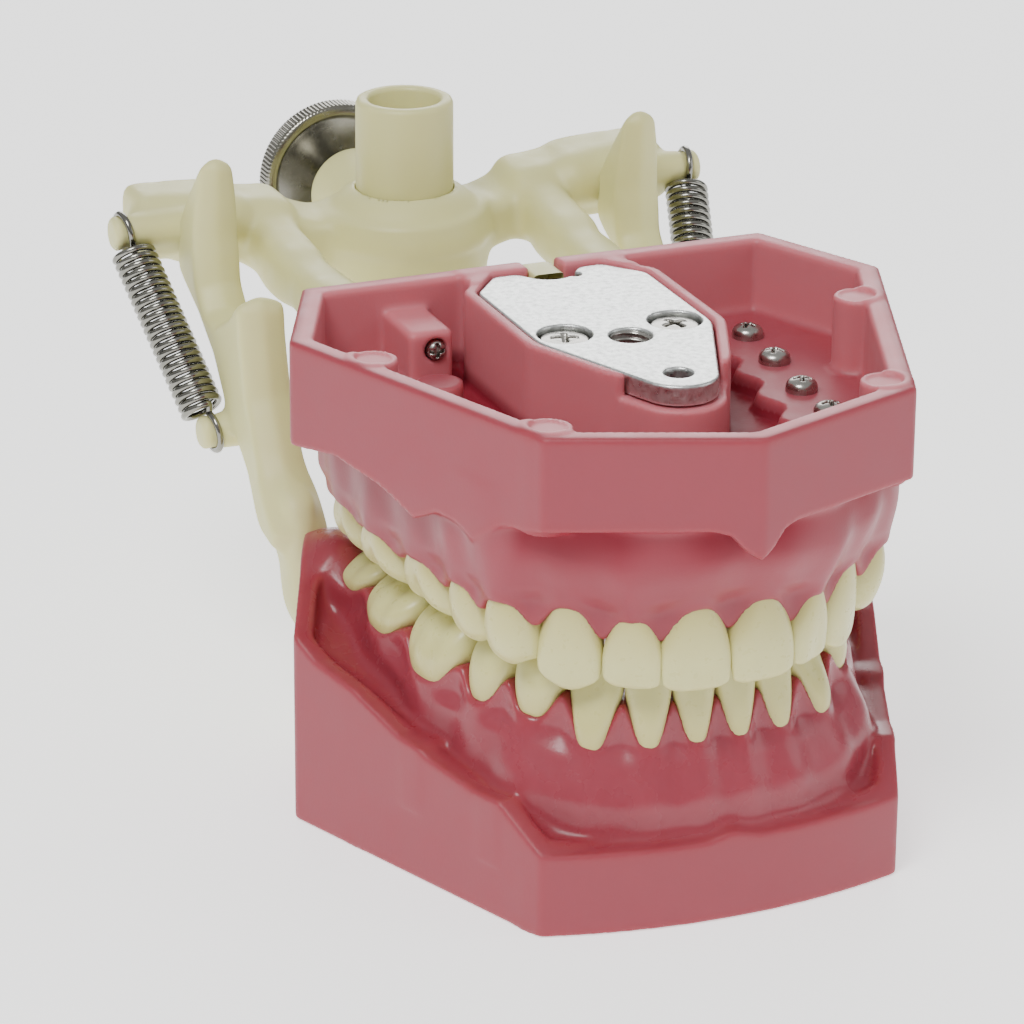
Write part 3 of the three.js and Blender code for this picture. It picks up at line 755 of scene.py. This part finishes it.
def palate(f, off, out):
    """Roof between the upper gums, with its cross ridges behind the front teeth."""
    vault = PALATE_Z - 6.5 * (1 - ease(-(off + 8.5) / 8))
    ridges = 0.35 * np.cos((f.y - 0.04 * f.x ** 2) * 1.5) * bell((f.y - 27) / 7)
    roof = smax(vault + ridges - f.z, f.z - 54, 1)
    return smax(smax(roof, off + 6, 1), out + 1, 1)


def upper_tray(f, s, off, out):
    """Hollow of the upper base: a ledge over the roots, a wavy trench inside it, and the
    pillar of the mount plate."""
    wave = 0.9 * np.cos(2 * math.pi * (s - UPPER.centres[5]) / 8.6)
    trench = ease((-off - 8.6 - wave) / 0.9)
    floor = TRAY_FLOOR_Z - TRENCH_DEPTH * trench
    tray = smax(out + WALL + (f.z - RIM_Z) * -0.012, floor - f.z, 1.2)
    f.d = smax(f.d, -tray, 0.7)
    strip = 1.0 + 0.7 * ease((f.y - 24) / 4)
    pillar = smax(plate_outline(f.x, f.y) - strip, f.z - RIM_Z, 0.25)
    f.d = smin(f.d, smax(pillar, 50 - f.z, 0.5), 0.8)
    f.add(brick((-11, 62, 50), (11, BACK_Y - 1, RIM_Z), 0.5), 0.8)


def upper_jaw():
    f = Field((-HEEL_X, 0, 34.5), (HEEL_X, BACK_Y, RIM_Z))
    s, off = arch_grid(UPPER, f)
    out = upper_outline(f.x, f.y)
    f.d = upper_shell(f, out)
    band = smax(gum_band(UPPER, s, off, f.z, 1, 3.2), f.z - 54, 1)
    f.d = smin(f.d, smax(band, f.y - 66.6, 4), 1.6)
    f.d = smin(f.d, palate(f, off, out), 3)
    upper_tray(f, s, off, out)
    rim_bosses(f, upper_outline, 50, RIM_Z, 1.0, (2.2, RIM_Z - 0.35, RIM_Z + 3, 0.2))
    # lock screw column and floor boss on the right side
    column = brick((-21.4, 56, 50), (-15.6, BACK_Y - 1, 59.3), 1.0)
    f.add(column, 0.8, ((-27, 50, 49), (-11, 69, 63)))
    x, front, z = LOCK_SCREW
    f.cut(cylinder(1, (x, z), 1.4, 50, front + 0.4, 0.2), 0.2, ((-24, 50, 53), (-14, 60, 61)))
    f.add(cylinder(2, (-19.6, 50.8), 2.9, 50, 54.9, 0.3), 0.6, ((-25, 45, 50), (-14, 56, 57)))
    plate_pocket(f, 1, 55)
    bore(f, (0, THREAD[0]), 2.5, 53, 62)
    bore(f, (0, NOSE[0]), 1.6, 55, 62)
    for side in (-1, 1):
        bore(f, (side * PLATE_SCREW[0], PLATE_SCREW[1]), 1.7, 54, 62, 0.2)
    return f


def lower_shell(f, out):
    """Solid lower base with a trough inside the top of its wall."""
    top = np.interp(f.y, *WALL_TOP).astype(np.float32)
    top = top + 0.8 * bell(f.x / 2.4) * bell((f.y - 6) / 4)
    shell = smax(smax(out, -f.z, 0.4), (f.z - top) * 0.9, 0.5)
    trough = np.interp(f.y, *TROUGH).astype(np.float32)
    return smax(shell, -smax(out + 2.5, trough - f.z, 2.4), 0.6)


def lower_gums(f, s, off, out):
    """Gums, their bands to the wall, and the pads behind the last teeth."""
    reach = 3.5 + 2.2 * bell((s - 19) / 9) + 1.1 * ease((s - 28) / 8)
    band = smax(gum_band(LOWER, s, off, f.z, -1, reach), 5 - f.z, 1)
    f.d = smin(f.d, smax(band, f.y - 65.6, 4), 2.0)
    for side in (-1, 1):
        for ends in FRENA:
            start, end = np.array(ends) * [side, 1, 1]
            low, high = np.minimum(start, end) - 4, np.maximum(start, end) + 4
            f.add(limb(start, (0.8, 0.8, 3), end, (0.8, 0.8, 3), 2.5), 2.4, (low, high))
        f.add(ellipsoid((side * 28.2, 62.6, 26.4), (4.4, 5.4, 5.4)), 3.0,
              mirrored(side, (20, 52, 15), (37, 70, 35)))
    f.d = smax(f.d, out, 0.5)


def lower_jaw():
    f = Field((-HEEL_X, LOWER_FRONT_Y, 0), (HEEL_X, BACK_Y, 33.5))
    s, off = arch_grid(LOWER, f)
    out = lower_outline(f.x, f.y)
    f.d = lower_shell(f, out)
    lower_gums(f, s, off, out)
    # floor between the gums, open to the back
    tongue = smax(smax(off + 10.6, TONGUE_FLOOR_Z - f.z, 3), -20 - f.x, 1)
    f.d = smax(f.d, -smax(tongue, np.abs(f.x) - 15, 2), 1.5)
    floor = smax(smax(off + 6, f.z - TONGUE_FLOOR_Z, 1), 6 - f.z, 1)
    f.d = smin(f.d, smax(smax(floor, out, 0.5), f.y - BACK_Y, 0.5), 3)
    # underside
    hollow = smax(out + WALL, f.z - LOWER_HOLLOW_Z, 1.0)
    hollow = smax(hollow, 1.7 - plate_outline(f.x, f.y), 0.6)
    f.d = smax(f.d, -hollow, 0.5)
    f.add(brick((-11, 62, 0), (11, BACK_Y - 1, 8), 0.5), 0.6)
    rim_bosses(f, lower_outline, 0, 8, 0.8, (1.9, -3, 0.5, 0.3))
    plate_pocket(f, -1, RIM_Z - 7.2)
    return f


def shade_upper(x, y, z, up):
    """Painted shade: deeper colour in the fold under the trimmed edge."""
    inside = -upper_outline(x, y)
    return ease((inside - 0.8) / 1.5) * (0.1 + 0.8 * ease((z - 43) / 7)) * (z < SKIRT_CEILING_Z)


def lift_upper(x, y, z, up):
    """Painted light: paler inside the tray, where light comes through the walls, but less so on its
    floor.
    """
    inside = -upper_outline(x, y)
    floor = ease(up) * (z < 56)
    return 0.75 * ease((inside - 0.2) / 1.4) * ease((z - 51.8) / 2) * (1 - 0.8 * floor)


def wet_upper(x, y, z, up):
    """A little glossier below the trimmed base."""
    return 0.35 * (1 - ease((z - 47) / 4.5))


def shade_lower(x, y, z, up):
    """Painted shade: deeper colour along the bottom of the trough."""
    inside = -lower_outline(x, y)
    above = z - np.interp(y, *TROUGH)
    return 0.35 * ease((inside - 1.5) / 2) * (1 - ease(above / 6))


def wet_lower(x, y, z, up):
    """Glossy everywhere inside the trimmed walls."""
    inside = -lower_outline(x, y)
    return ease((inside - 0.5) / 1.5) * ease((z - 7.5) / 2)


# ---------------------------------------------------------------- teeth
# Cusps as [share of the half width, share of the way in from the outer face, drop in mm]
CUSPS = {
    "incisor": [[-0.62, 0.5, 0.1], [0, 0.5, 0], [0.62, 0.5, 0.12]],
    "canine": [[-0.05, 0.45, 0]],
    "premolar": [[0, 0.2, 0], [-0.06, 0.86, 0.9]],
    "upper_molar": [[-0.48, 0.16, 0], [0.5, 0.16, 0.15], [-0.42, 0.86, 0.6], [0.5, 0.84, 1.0]],
    "lower_molar": [[-0.58, 0.14, 0.1], [0.06, 0.12, 0.1], [0.66, 0.2, 0.4],
                    [-0.48, 0.88, 0], [0.42, 0.88, 0.1]],
}


def front_shape(t, kind, upper, lean):
    """Width, outer face and thickness of a front tooth from tip (t 0) to neck (t 1), then the
    roundness of its section and the slopes of its edge."""
    tip_wide = 0.93 if kind == "incisor" else 0.78
    middle, neck_wide = (0.95, 0.64) if upper else (0.88, 0.6)
    wide = curve(t, [(0, tip_wide), (0.28, 0.99), (0.6, middle), (1, neck_wide), (1.25, 0.5)])
    outer = curve(t, [(0, -0.1), (0.35, 0.35), (0.8, lean + 0.45), (1.25, lean - 0.3)])
    thick = curve(t, [(0, 0.22), (0.3, 0.42), (0.75, 0.8), (1, 0.86), (1.25, 0.78)])
    slopes = {"incisor": (0.1, 0.35), "canine": (0.34 if upper else 0.5, 0.4)}[kind]
    return wide, outer, thick, 2.5, slopes


def back_shape(t, kind, upper, lean):
    """The same for a back tooth, with the slopes of its cusps."""
    wide = curve(t, [(0, 0.84), (0.35, 1.0), (0.7, 0.92), (1, 0.74), (1.25, 0.66)])
    outer = curve(t, [(0, -0.35 if upper else -0.2), (0.4, lean * 0.72 + 0.25),
                      (0.8, lean + 0.3), (1.25, lean - 0.7)])
    thick = curve(t, [(0, 0.74), (0.4, 0.98), (0.8, 1.0), (1.25, 0.78)])
    if kind == "premolar":
        return wide, outer, thick, 2.4, (0.6, 0.62)
    return wide, outer, thick, 2.8, (0.7, 0.55)


def lobes(kind, u, t):
    """How far the outer face stands out at u, from -1 to 1 across the tooth."""
    if kind == "incisor":
        return -0.06 * np.cos(u * 2 * math.pi) * (1 - t)
    if kind == "upper_molar":
        return -0.85 * bell((u - 0.02) / 0.26) * np.clip(1.1 - t, 0, 1)
    if kind == "lower_molar":
        grooves = 0.6 * bell((u + 0.28) / 0.2) + 0.4 * bell((u - 0.42) / 0.17)
        return -grooves * np.clip(1.1 - t, 0, 1)
    return 0.22 * bell(u / 0.5) * (1 - t) - 0.12


def tooth_field(arch, index, upper):
    """One crown with the start of its root, standing along the third axis, tip at 0. The axes
    are: along the arch towards the back, outwards, and from the tip towards the root."""
    kind = TEETH[index].split("_")[-1]
    if kind == "molar":
        kind = "upper_molar" if upper else "lower_molar"
    half = arch.widths[index] / 2 - (0.06 if upper else 0.12)
    depth, lean = arch.depths[index], arch.lean[index]
    high = abs(arch.neck_z[index] - arch.tip_z[index])
    front = index < FRONT_TEETH
    f = Field((-half - 0.6, lean - depth - 2.6, -0.5), (half + 0.6, lean + 2.2, high + 3.5),
              TOOTH_STEP)
    t, u = np.clip(f.z / high, 0, 1.25), f.x / half
    profile = front_shape if front else back_shape
    wide, outer, thick, power, (slope_u, slope_w) = profile(t, kind, upper, lean)
    outer = outer + lobes(kind, u, t)
    inner = outer - depth * thick
    across = (f.y - (outer + inner) / 2) / ((outer - inner) / 2)
    section = (np.abs(f.x / (half * wide)) ** power + np.abs(across) ** power) ** (1 / power) - 1
    body = section * np.minimum(half * wide, (outer - inner) / 2) * 0.9

    face, back = float(outer[len(f.lines[0]) // 2, 0, 2]), float(inner[len(f.lines[0]) // 2, 0, 2])
    drop = None
    for cu, cw, low in CUSPS[kind]:
        du = (f.x - cu * half) * slope_u
        dw = (f.y - (face + (back - face) * cw)) * slope_w
        cone = np.sqrt(du * du + dw * dw + 0.05) - 0.22 + low
        drop = cone if drop is None else smin(drop, cone, 0.18)
    if front:
        drop = drop + (0.5 if upper else 0.2) * np.clip(u, 0, 1) ** 4 + 0.2 * np.clip(-u, 0, 1) ** 5
    else:  # marginal ridges close the grooves at both ends
        drop = drop - 0.5 * bell((np.abs(u) - 0.86) / 0.14) * bell(across / 0.5)
    f.d = smax(body, (drop - f.z) * 0.85, 0.6)
    f.d = smax(f.d, f.z - high - 3, 0.8).astype(np.float32)
    return f, high


def build_teeth():
    for arch, jaw, up in ((UPPER, "upper", 1), (LOWER, "lower", -1)):
        for index, tooth in enumerate(TEETH):
            field, high = tooth_field(arch, index, up > 0)
            shape = field.skin()
            spot, along = arch.at(arch.centres[index])
            for side, name in SIDES:
                turn = [[side * along[0], along[1], 0], [side * along[1], -along[0], 0],
                        [0, 0, up]]
                origin = [side * spot[0], spot[1], arch.tip_z[index]]
                tooth_name = f"{jaw}_{name}_{tooth}"
                piece = stamp(f"crown_{tooth_name}", shape, turn, origin, RESIN,
                              neck=shape[0][:, 2] / high)
                finish_piece(piece, f"{jaw}_assembly", "tooth_resin", tooth_name)


# ---------------------------------------------------------------- metal
def plate_field(low, high):
    """Mount plate between two heights, notched for the key, with its holes."""
    half, back = PLATE_HIGH[:2]
    f = Field((-half, PLATE_LOW[1], low), (half, back, high), METAL_STEP)
    notch = 3.4 - np.hypot(f.x, f.y - back)
    outline = smax(plate_outline(f.x, f.y), notch, 1.8)
    f.d = smax(outline, np.abs(f.z - (low + high) / 2) - (high - low) / 2, 0.35)
    for centre, radius in (((0, THREAD[0]), THREAD[1]), ((0, NOSE[0]), 1.7), ((2.7, 61.6), 0.7)):
        f.cut(cylinder(2, centre, radius, low - 5, high + 5), 0.3)
    for side in (-1, 1):
        centre = (side * PLATE_SCREW[0], PLATE_SCREW[1])
        f.cut(cylinder(2, centre, 3.3, low - 5, high + 5), 0.25)
    return f


def thread(name, centre, radius, low, high, material):
    """Screw thread seen inside a hole: a ring whose bore winds."""
    sides, rows = 48, 40
    pitch = 0.8
    turn = np.linspace(0, 2 * math.pi, sides, endpoint=False)
    rings = []
    for row in range(rows + 1):
        z = low + (high - low) * row / rows
        wave = 0.5 + 0.5 * np.cos(2 * math.pi * z / pitch - turn)
        inner = radius - 0.32 * wave
        rings.append(np.stack([centre[0] + inner * np.cos(turn),
                               centre[1] + inner * np.sin(turn), np.full(sides, z)], 1))
    return tube(name, rings, material, flip=True)


def cross_recess(x, y, z, top, size, deep):
    """Cross-shaped recess of a screw head, narrower towards its bottom."""
    shrink = (top - z) / deep
    arm = size * (1 - 0.45 * np.clip(shrink, 0, 1))
    slot = size * 0.2
    one = np.maximum(np.abs(x) - arm, np.abs(y) - slot)
    two = np.maximum(np.abs(y) - arm, np.abs(x) - slot)
    return np.maximum(smin(one, two, 0.15), top - deep - z)


def plate_screw_field():
    """Countersunk screw, head up, its face at 0."""
    f = Field((-3.3, -3.3, -4), (3.3, 3.3, 0.3), METAL_STEP * 0.6)
    radius = np.hypot(f.x, f.y)
    f.d = smax(radius - 3.05, f.z + 0.03 * radius ** 2 - 0.1, 0.35)
    f.d = smax(f.d, (radius - 3.1 - f.z - 1.2) * 0.7, 0.3)
    f.d = smin(f.d, smax(radius - 1.4, f.z, 0.2), 0.2)
    f.d = smax(f.d, -4 - f.z, 0.2)
    f.d = smax(f.d, -cross_recess(f.x, f.y, f.z, 0.0, 1.7, 1.3), 0.25)
    return f


def pan_screw_field(radius=2.0):
    """Pan-head screw, head up, standing on 0."""
    f = Field((-radius, -radius, -1), (radius, radius, 1.9), METAL_STEP * 0.55)
    away = np.hypot(f.x, f.y)
    dome = np.sqrt(away ** 2 + (f.z + 1.4) ** 2) - 3.05
    f.d = smax(smax(away - radius, -1 - f.z, 0.1), dome, 0.5)
    f.d = smax(f.d, -cross_recess(f.x, f.y, f.z, 1.65, 1.15, 1.0), 0.15)
    return f


def spin(angle, up=1):
    """Turn about the upright axis, and upside down where up is -1."""
    c, s = math.cos(angle), math.sin(angle)
    return [[c, s, 0], [-s * up, c * up, 0], [0, 0, up]]


def build_plates():
    for jaw in ("upper", "lower"):
        low, high = span(f"{jaw}_mount_plate")
        plate = carve(f"{jaw}_plate", plate_field(low[2], high[2]), PLATE_STEEL)
        finish_piece(plate, f"{jaw}_assembly", "plate_steel", f"{jaw}_mount_plate")
        ring = thread(f"{jaw}_plate_thread", (0, THREAD[0]), THREAD[1] + 0.06, low[2] + 0.1,
                      high[2] - 0.3, SCREW_STEEL)
        finish_piece(ring, f"{jaw}_assembly", "plate_steel")
    shape = plate_screw_field().skin()
    for side, name in SIDES:
        for jaw, up, z in (("upper", 1, PLATE_TOP), ("lower", -1, RIM_Z - PLATE_TOP)):
            piece = stamp(f"{jaw}_plate_screw_head_{name}", shape, spin(0.3 * side, up),
                          [side * PLATE_SCREW[0], PLATE_SCREW[1], z - up * 0.45], SCREW_STEEL)
            finish_piece(piece, f"{jaw}_assembly", "screw_steel", f"{jaw}_plate_screw_{name}")


def build_tray_screws():
    """One screw for every tooth. The CAD holds only those of the upper back teeth."""
    pan = pan_screw_field().skin()
    for index, tooth in enumerate(TEETH):
        for side, name in SIDES:
            for arch, jaw, up, z in ((UPPER, "upper", 1, TRAY_FLOOR_Z + 0.1),
                                     (LOWER, "lower", -1, LOWER_HOLLOW_Z - 0.1)):
                spot, along = arch.at(arch.centres[index])
                inset = 1.4 + arch.depths[index] / 4
                x, y = spot[0] - along[1] * inset, spot[1] + along[0] * inset
                piece = stamp(f"tooth_screw_{jaw}_{name}_{tooth}", pan,
                              spin(1.3 * index + side, up), [side * x, y, z], SCREW_STEEL)
                nodes = [f"screw_upper_{name}_{tooth}"] if up > 0 and index > 3 else []
                finish_piece(piece, f"{jaw}_assembly", "screw_steel", *nodes)
    lock = pan_screw_field(1.2).skin()
    forward = [[1, 0, 0], [0, 0, 1], [0, -1, 0]]
    piece = stamp("lock_screw", lock, forward, LOCK_SCREW, SCREW_STEEL)
    finish_piece(piece, "upper_assembly", "screw_steel", "upper_lock_screw")


def build_knob():
    r, face, back = KNOB_R, KNOB_BACK - KNOB_THICK, KNOB_BACK
    dish = [(0.3 + 9 * k / 12, face + 2.3 * (1 - (k / 12) ** 2.4)) for k in range(13)]
    profile = [(0.02, face + 2.3)] + dish + [(9.5, face - 0.02), (r - 0.5, face + 0.05),
                                            (r - 0.15, face + 0.35)]
    knurled = [(r, face + 0.6 + 0.4 * i, 1) for i in range(7)]
    tail = [(r - 0.2, back - 0.35), (r - 0.7, back), (6.5, back), (5.8, back - 0.4),
            (0.02, back - 0.5)]
    knob = lathe("knob_disc", profile + knurled + tail, 1, (0, 0, KNOB_Z), KNOB_STEEL,
                 sides=480, ripple=(120, 0.22))
    finish_piece(knob, "clamp", "knob_steel", "clamp_knob")
    stud = lathe("knob_stud", [(0.02, HUB_Y + 6), (2.3, HUB_Y + 6), (2.6, HUB_Y + 6.4),
                               (2.6, face + 2.4)], 1, (0, 0, KNOB_Z), KNOB_STEEL, sides=40)
    finish_piece(stud, "clamp", "knob_steel")


def hook(centre, towards, start, stop, radius, count=26):
    """Open loop of wire round a peg, its gap towards the coil."""
    outward = unit(np.cross(towards, [1, 0, 0]))
    angles = np.linspace(start, stop, count)[:, None]
    return centre + radius * (towards * np.cos(angles) + outward * np.sin(angles))


def bridge(before, after, count=8):
    """Bend from the end of one stretch of wire to the start of the next one."""
    start, end = before[-1], after[0]
    reach = np.linalg.norm(end - start) * 1.1
    t = np.linspace(0, 1, count + 2)[1:-1, None]
    return hermite(t, start, unit(start - before[-2]) * reach, end, unit(after[1] - end) * reach)


def spring_path(side):
    top, foot = UPPER_LOOP * [side, 1, 1], LOWER_LOOP * [side, 1, 1]
    length = np.linalg.norm(top - foot)
    axis = (top - foot) / length
    across = unit(np.cross(axis, [1, 0, 0]))
    third = np.cross(axis, across)
    coil_r, coil_len, turns = 2.5, length * 0.8, 22.5
    loop_r = PEG_R + 0.12
    foot_hook = hook(foot, axis, -2 * math.pi + 0.7, -0.75, loop_r)
    top_hook = hook(top, -axis, 0.75, 2 * math.pi - 0.7, loop_r)
    angle = np.linspace(0, turns * 2 * math.pi, int(turns * (26)))[:, None]
    rise = (length - coil_len) / 2 + coil_len * angle / angle[-1]
    coil = foot + axis * rise + coil_r * (third * np.sin(angle) - across * np.cos(angle))
    return np.concatenate([foot_hook, bridge(foot_hook, coil), coil, bridge(coil, top_hook),
                           top_hook])


def wire(name, path, radius, material, sides=10):
    """Round wire along a path, narrower at its two open ends."""
    ahead = np.gradient(path, axis=0)
    ahead /= np.linalg.norm(ahead, axis=1, keepdims=True)
    normal = np.cross(ahead[0], [0.3, 0.5, 0.8])
    rings, radii = [], np.full(len(path), radius)
    radii[0] = radii[-1] = radius * 0.55
    turn = np.linspace(0, 2 * math.pi, sides, endpoint=False)[:, None]
    for centre, along, r in zip(path, ahead, radii):
        normal = unit(normal - along * (normal @ along))
        rings.append(centre + r * (normal * np.cos(turn) + np.cross(along, normal) * np.sin(turn)))
    return tube(name, rings, material)


def build_springs():
    for side, name in SIDES:
        piece = wire(f"spring_wire_{name}", spring_path(side), WIRE_R, SPRING_STEEL)
        start, end = [Vector(place(loop * [side, 1, 1])) for loop in (LOWER_LOOP, UPPER_LOOP)]
        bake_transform(piece)
        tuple(start)
        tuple(end)
        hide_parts(f"{name}_spring")


# ---------------------------------------------------------------- articulator
def peg(f, loop, side, root, soft):
    """Peg outwards from root, with a round groove where the spring's hook sits."""
    x, y, z = loop
    ends = sorted((side * root, side * (x + 1.8)))
    f.add(cylinder(0, (y, z), PEG_R, *ends, 0.8), soft,
          mirrored(side, (root - 3, y - 6, z - 6), (x + 3.1, y + 6, z + 6)))
    centre = loop * [side, 1, 1]

    def ring(x, y, z):
        away = np.hypot(y - centre[1], z - centre[2]) - PEG_R - 0.12
        return np.sqrt(away ** 2 + (x - centre[0]) ** 2) - 0.6
    f.cut(ring, 0.3, (centre - 4, centre + 4))


def hub_field(x, y, z):
    """Round hub with a crease at its waist and a dome up to the sleeve."""
    away = np.hypot(x, y - HUB_Y)
    drum = smax(away - 11.0 + 0.35 * bell((z - 55) / 0.5), np.abs(z - 50) - 6, 1.2)
    dome = np.sqrt(away ** 2 + ((z - 52) * 1.35) ** 2) - 11.4
    dome = smax(dome, z - 59.8, 0.8)
    return smin(drum, smax(dome, 52 - z, 0.4), 1.0)


def upper_frame():
    f = Field((-42, 64, 43.5), (42, 136, 64))
    f.add(hub_field, 0.01)
    for side in (-1, 1):
        chain(f, side, [((6, 114, 52.0), (4, 5.2, 4.2)), ((13, 116.4, 52.6), (4, 4.6, 2.8)),
                        ((20, 117.6, 54.8), (4, 4.4, 3.9)), ((28, 117.8, 55.8), (4.4, 4.4, 4.4)),
                        ((34.2, 117.2, 56.8), (3.2, 4.4, 4.4))], 1.4, 5.0)
        chain(f, side, [((19.4, 115, 53.8), (3.6, 4, 4.2)), ((19.3, 104, 52.2), (3.2, 5, 3.6)),
                        ((18.8, 92, 51.6), (3.1, 5, 3.2)), ((17, 74, 53), (3.4, 3.4, 3.8))], 1.4)
        f.add(capsule((side * 25, HINGE[0], HINGE[1]), (side * 35.6, HINGE[0], HINGE[1]), 3.6),
              1.0, mirrored(side, (20, 107, 50), (42, 121, 63)))
        peg(f, UPPER_LOOP, side, 30, 0.8)
    f.add(brick((-19, BACK_Y + 0.3, 50), (19, 75, 58.6), 1.2), 1.5)
    f.add(cylinder(1, (0, KNOB_Z), 6.2, HUB_Y, BOSS_BACK_Y, 0.8), 1.5)
    f.soften(1)
    f.add(brick((-2.2, PLATE_HIGH[1] - 3.2, 56.2), (1.8, BACK_Y, RIM_Z - 0.35), 0.3), 0.2)
    f.add(brick((-2.2, BACK_Y - 1, 56.2), (2.2, 72, 58.4), 0.4), 0.2)
    f.cut(cylinder(2, (0, HUB_Y), SLEEVE_R + 0.1, 50, 80, 0.1), 0.2)
    f.cut(cylinder(2, (0, HUB_Y), SLEEVE_BORE_R, 40, 60, 0.1), 0.4)
    f.cut(cylinder(1, (0, KNOB_Z), 2.8, HUB_Y, 140, 0.1), 0.4)
    return f


# Side view of an upright, as (y, z)
RAMUS_SIDE = [(71.5, 28.8), (77.7, 34.5), (83.5, 43), (85.4, 50), (85.8, 53.6), (86.9, 55),
              (88.3, 54.4), (91.6, 51.4), (96.4, 49), (100, 49.2), (102.6, 52), (103.4, 58),
              (102.9, 64), (102.8, 67.6), (104, 68.6), (106.4, 65.4), (109.6, 60.8),
              (112.2, 57), (111, 51.6), (109, 50.4), (103.2, 47.8), (97.4, 44), (92.5, 38.2),
              (84.2, 32.6), (78, 27), (73, 26)]


def lower_frame():
    f = Field((-37, 68, 3.5), (37, 113.5, 68.5))
    side_view = polygon(f.y[0, :, 0][:, None], f.z[0, 0, :][None, :], RAMUS_SIDE)[None]
    side_view = side_view - 0.4
    thick = np.interp(f.z, (56, 62, 68), (3.1, 2.8, 2.1))
    depth = thick * np.sqrt(np.clip(-side_view / 1.1, 0, 1)) + 0.1
    for side in (-1, 1):
        middle = side * (29.8 - 0.03 * (f.z - 40) * (f.z < 40))
        blade = smax(side_view, np.abs(f.x - middle) - depth, 1.0)
        f.d = smin(f.d, blade.astype(np.float32), 0.5)
        chain(f, side, [((29.6, 76, 30.2), (2.8, 4.2, 3.4)), ((28.4, 72.6, 20), (2.6, 3.4, 3.2)),
                        ((25.6, 72, 10), (2.8, 3.2, 3.2))], 3.0, 2.6)
        peg(f, LOWER_LOOP, side, 28, 1.4)
    f.add(brick((-26, BACK_Y + 0.3, 4), (26, 75, 14), 1.2), 1.5)
    f.soften(2)
    f.cut(cylinder(0, HINGE, 3.9, -60, 60, 0.1), 0.6)
    f.add(brick((-2.2, PLATE_HIGH[1] - 3.2, 1), (2.2, 72, 6.4), 0.3), 0.2)
    return f


def build_articulator():
    for jaw, field in (("upper", upper_frame()), ("lower", lower_frame())):
        piece = carve(f"{jaw}_frame_moulding", field, CREAM)
        finish_piece(piece, f"{jaw}_assembly", "frame_plastic", f"{jaw}_articulator_frame")
    r, b, top = SLEEVE_R, SLEEVE_BORE_R, SLEEVE_TOP
    profile = [(b, 50), (r - 0.2, 50), (r + 0.05, 60), (r, top - 0.7), (r - 0.2, top - 0.2),
               (r - 0.6, top), (b + 0.5, top), (b + 0.12, top - 0.2), (b, top - 0.6), (b, 50)]
    # a small even share of the paler cream, painted light through the sleeve's thin wall
    sleeve = lathe("sleeve_tube", profile, 2, (0, HUB_Y, 0), CREAM, thin=0.15)
    finish_piece(sleeve, "upper_assembly", "frame_plastic", "mounting_sleeve")


def build_gums():
    piece = carve("upper_gum_base", upper_jaw(), GUM, wet=wet_upper, shade=shade_upper,
                  lift=lift_upper)
    finish_piece(piece, "upper_assembly", "gum_plastic", "upper_jaw")
    piece = carve("lower_gum_base", lower_jaw(), GUM, wet=wet_lower, shade=shade_lower)
    finish_piece(piece, "lower_assembly", "gum_plastic", "lower_jaw")


# ---------------------------------------------------------------- stage, light and camera
def metres(x, y, z):
    return Vector(place([x, y, z]))


def make_camera():
    """Long lens at the front right, a little above the object and rolled by a fraction."""
    camera = bpy.data.cameras.new("camera")
    camera.lens, camera.sensor_width = 165.35, 36
    obj = add_object("camera", camera)
    eye, aim = metres(-214.7, -446.2, 249.9), metres(-13.3, 42.8, 39.9)
    ahead = (aim - eye).normalized()
    right = ahead.cross(Vector((0, 0, 1))).normalized()
    up = right.cross(ahead)
    roll = math.radians(0.42)
    image_right = math.cos(roll) * right + math.sin(roll) * up
    image_up = math.cos(roll) * up - math.sin(roll) * right
    turn = Matrix((image_right, image_up, -ahead)).transposed().to_4x4()
    obj.matrix_world = Matrix.Translation(eye) @ turn
    camera.clip_start, camera.clip_end = 0.01, 20
    bpy.context.scene.camera = obj


def area_light(name, spot, aim, size, power):
    light = bpy.data.lights.new(name, "AREA")
    light.shape, light.size, light.energy = "DISK", size, power
    obj = add_object(name, light)
    obj.location = spot
    obj.rotation_mode = "QUATERNION"
    obj.rotation_quaternion = (Vector(aim) - Vector(spot)).to_track_quat("-Z", "Y")


def make_world():
    """Even studio light that fades towards the horizon."""
    world = bpy.data.worlds.new("studio")
    world.use_nodes = True
    sky = Nodes(world.node_tree)
    coords = sky.node("ShaderNodeTexCoord").outputs["Generated"]
    split = sky.node("ShaderNodeSeparateXYZ", {0: coords})
    background = world.node_tree.nodes["Background"]
    sky.feed(background.inputs["Color"], (1, 1, 1, 1))
    sky.feed(background.inputs["Strength"], sky.spread(split.outputs[2], 0.02, 0.4, 0.16, 0.54))
    bpy.context.scene.world = world


def make_stage():
    floor = Surface("floor_paper")
    colour = floor.mix(floor.noise(3), (0.9, 0.9, 0.895, 1), (0.93, 0.93, 0.925, 1))
    floor.set(Base_Color=colour, Roughness=0.9, Emission_Color=(1, 1, 1, 1),
              Emission_Strength=1.05)
    far, under = 6 / MM, -0.05
    points = [[-far, -far, under], [far, -far, under], [far, far, under], [-far, far, under]]
    new_piece("floor", points, [[0, 1, 2, 3]], floor.material)
    make_world()
    area_light("key", (-0.4, -0.35, 0.8), (0, 0, 0.04), 0.4, 6.5)
    area_light("fill", (0.8, -0.5, 0.4), (0, 0, 0.04), 0.6, 1.5)
    area_light("back", (0.45, 1.0, 0.5), (0, 0, 0.05), 0.8, 7)


make_camera()
make_stage()
build_gums()
build_teeth()
build_plates()
build_tray_screws()
build_knob()
build_springs()
build_articulator()
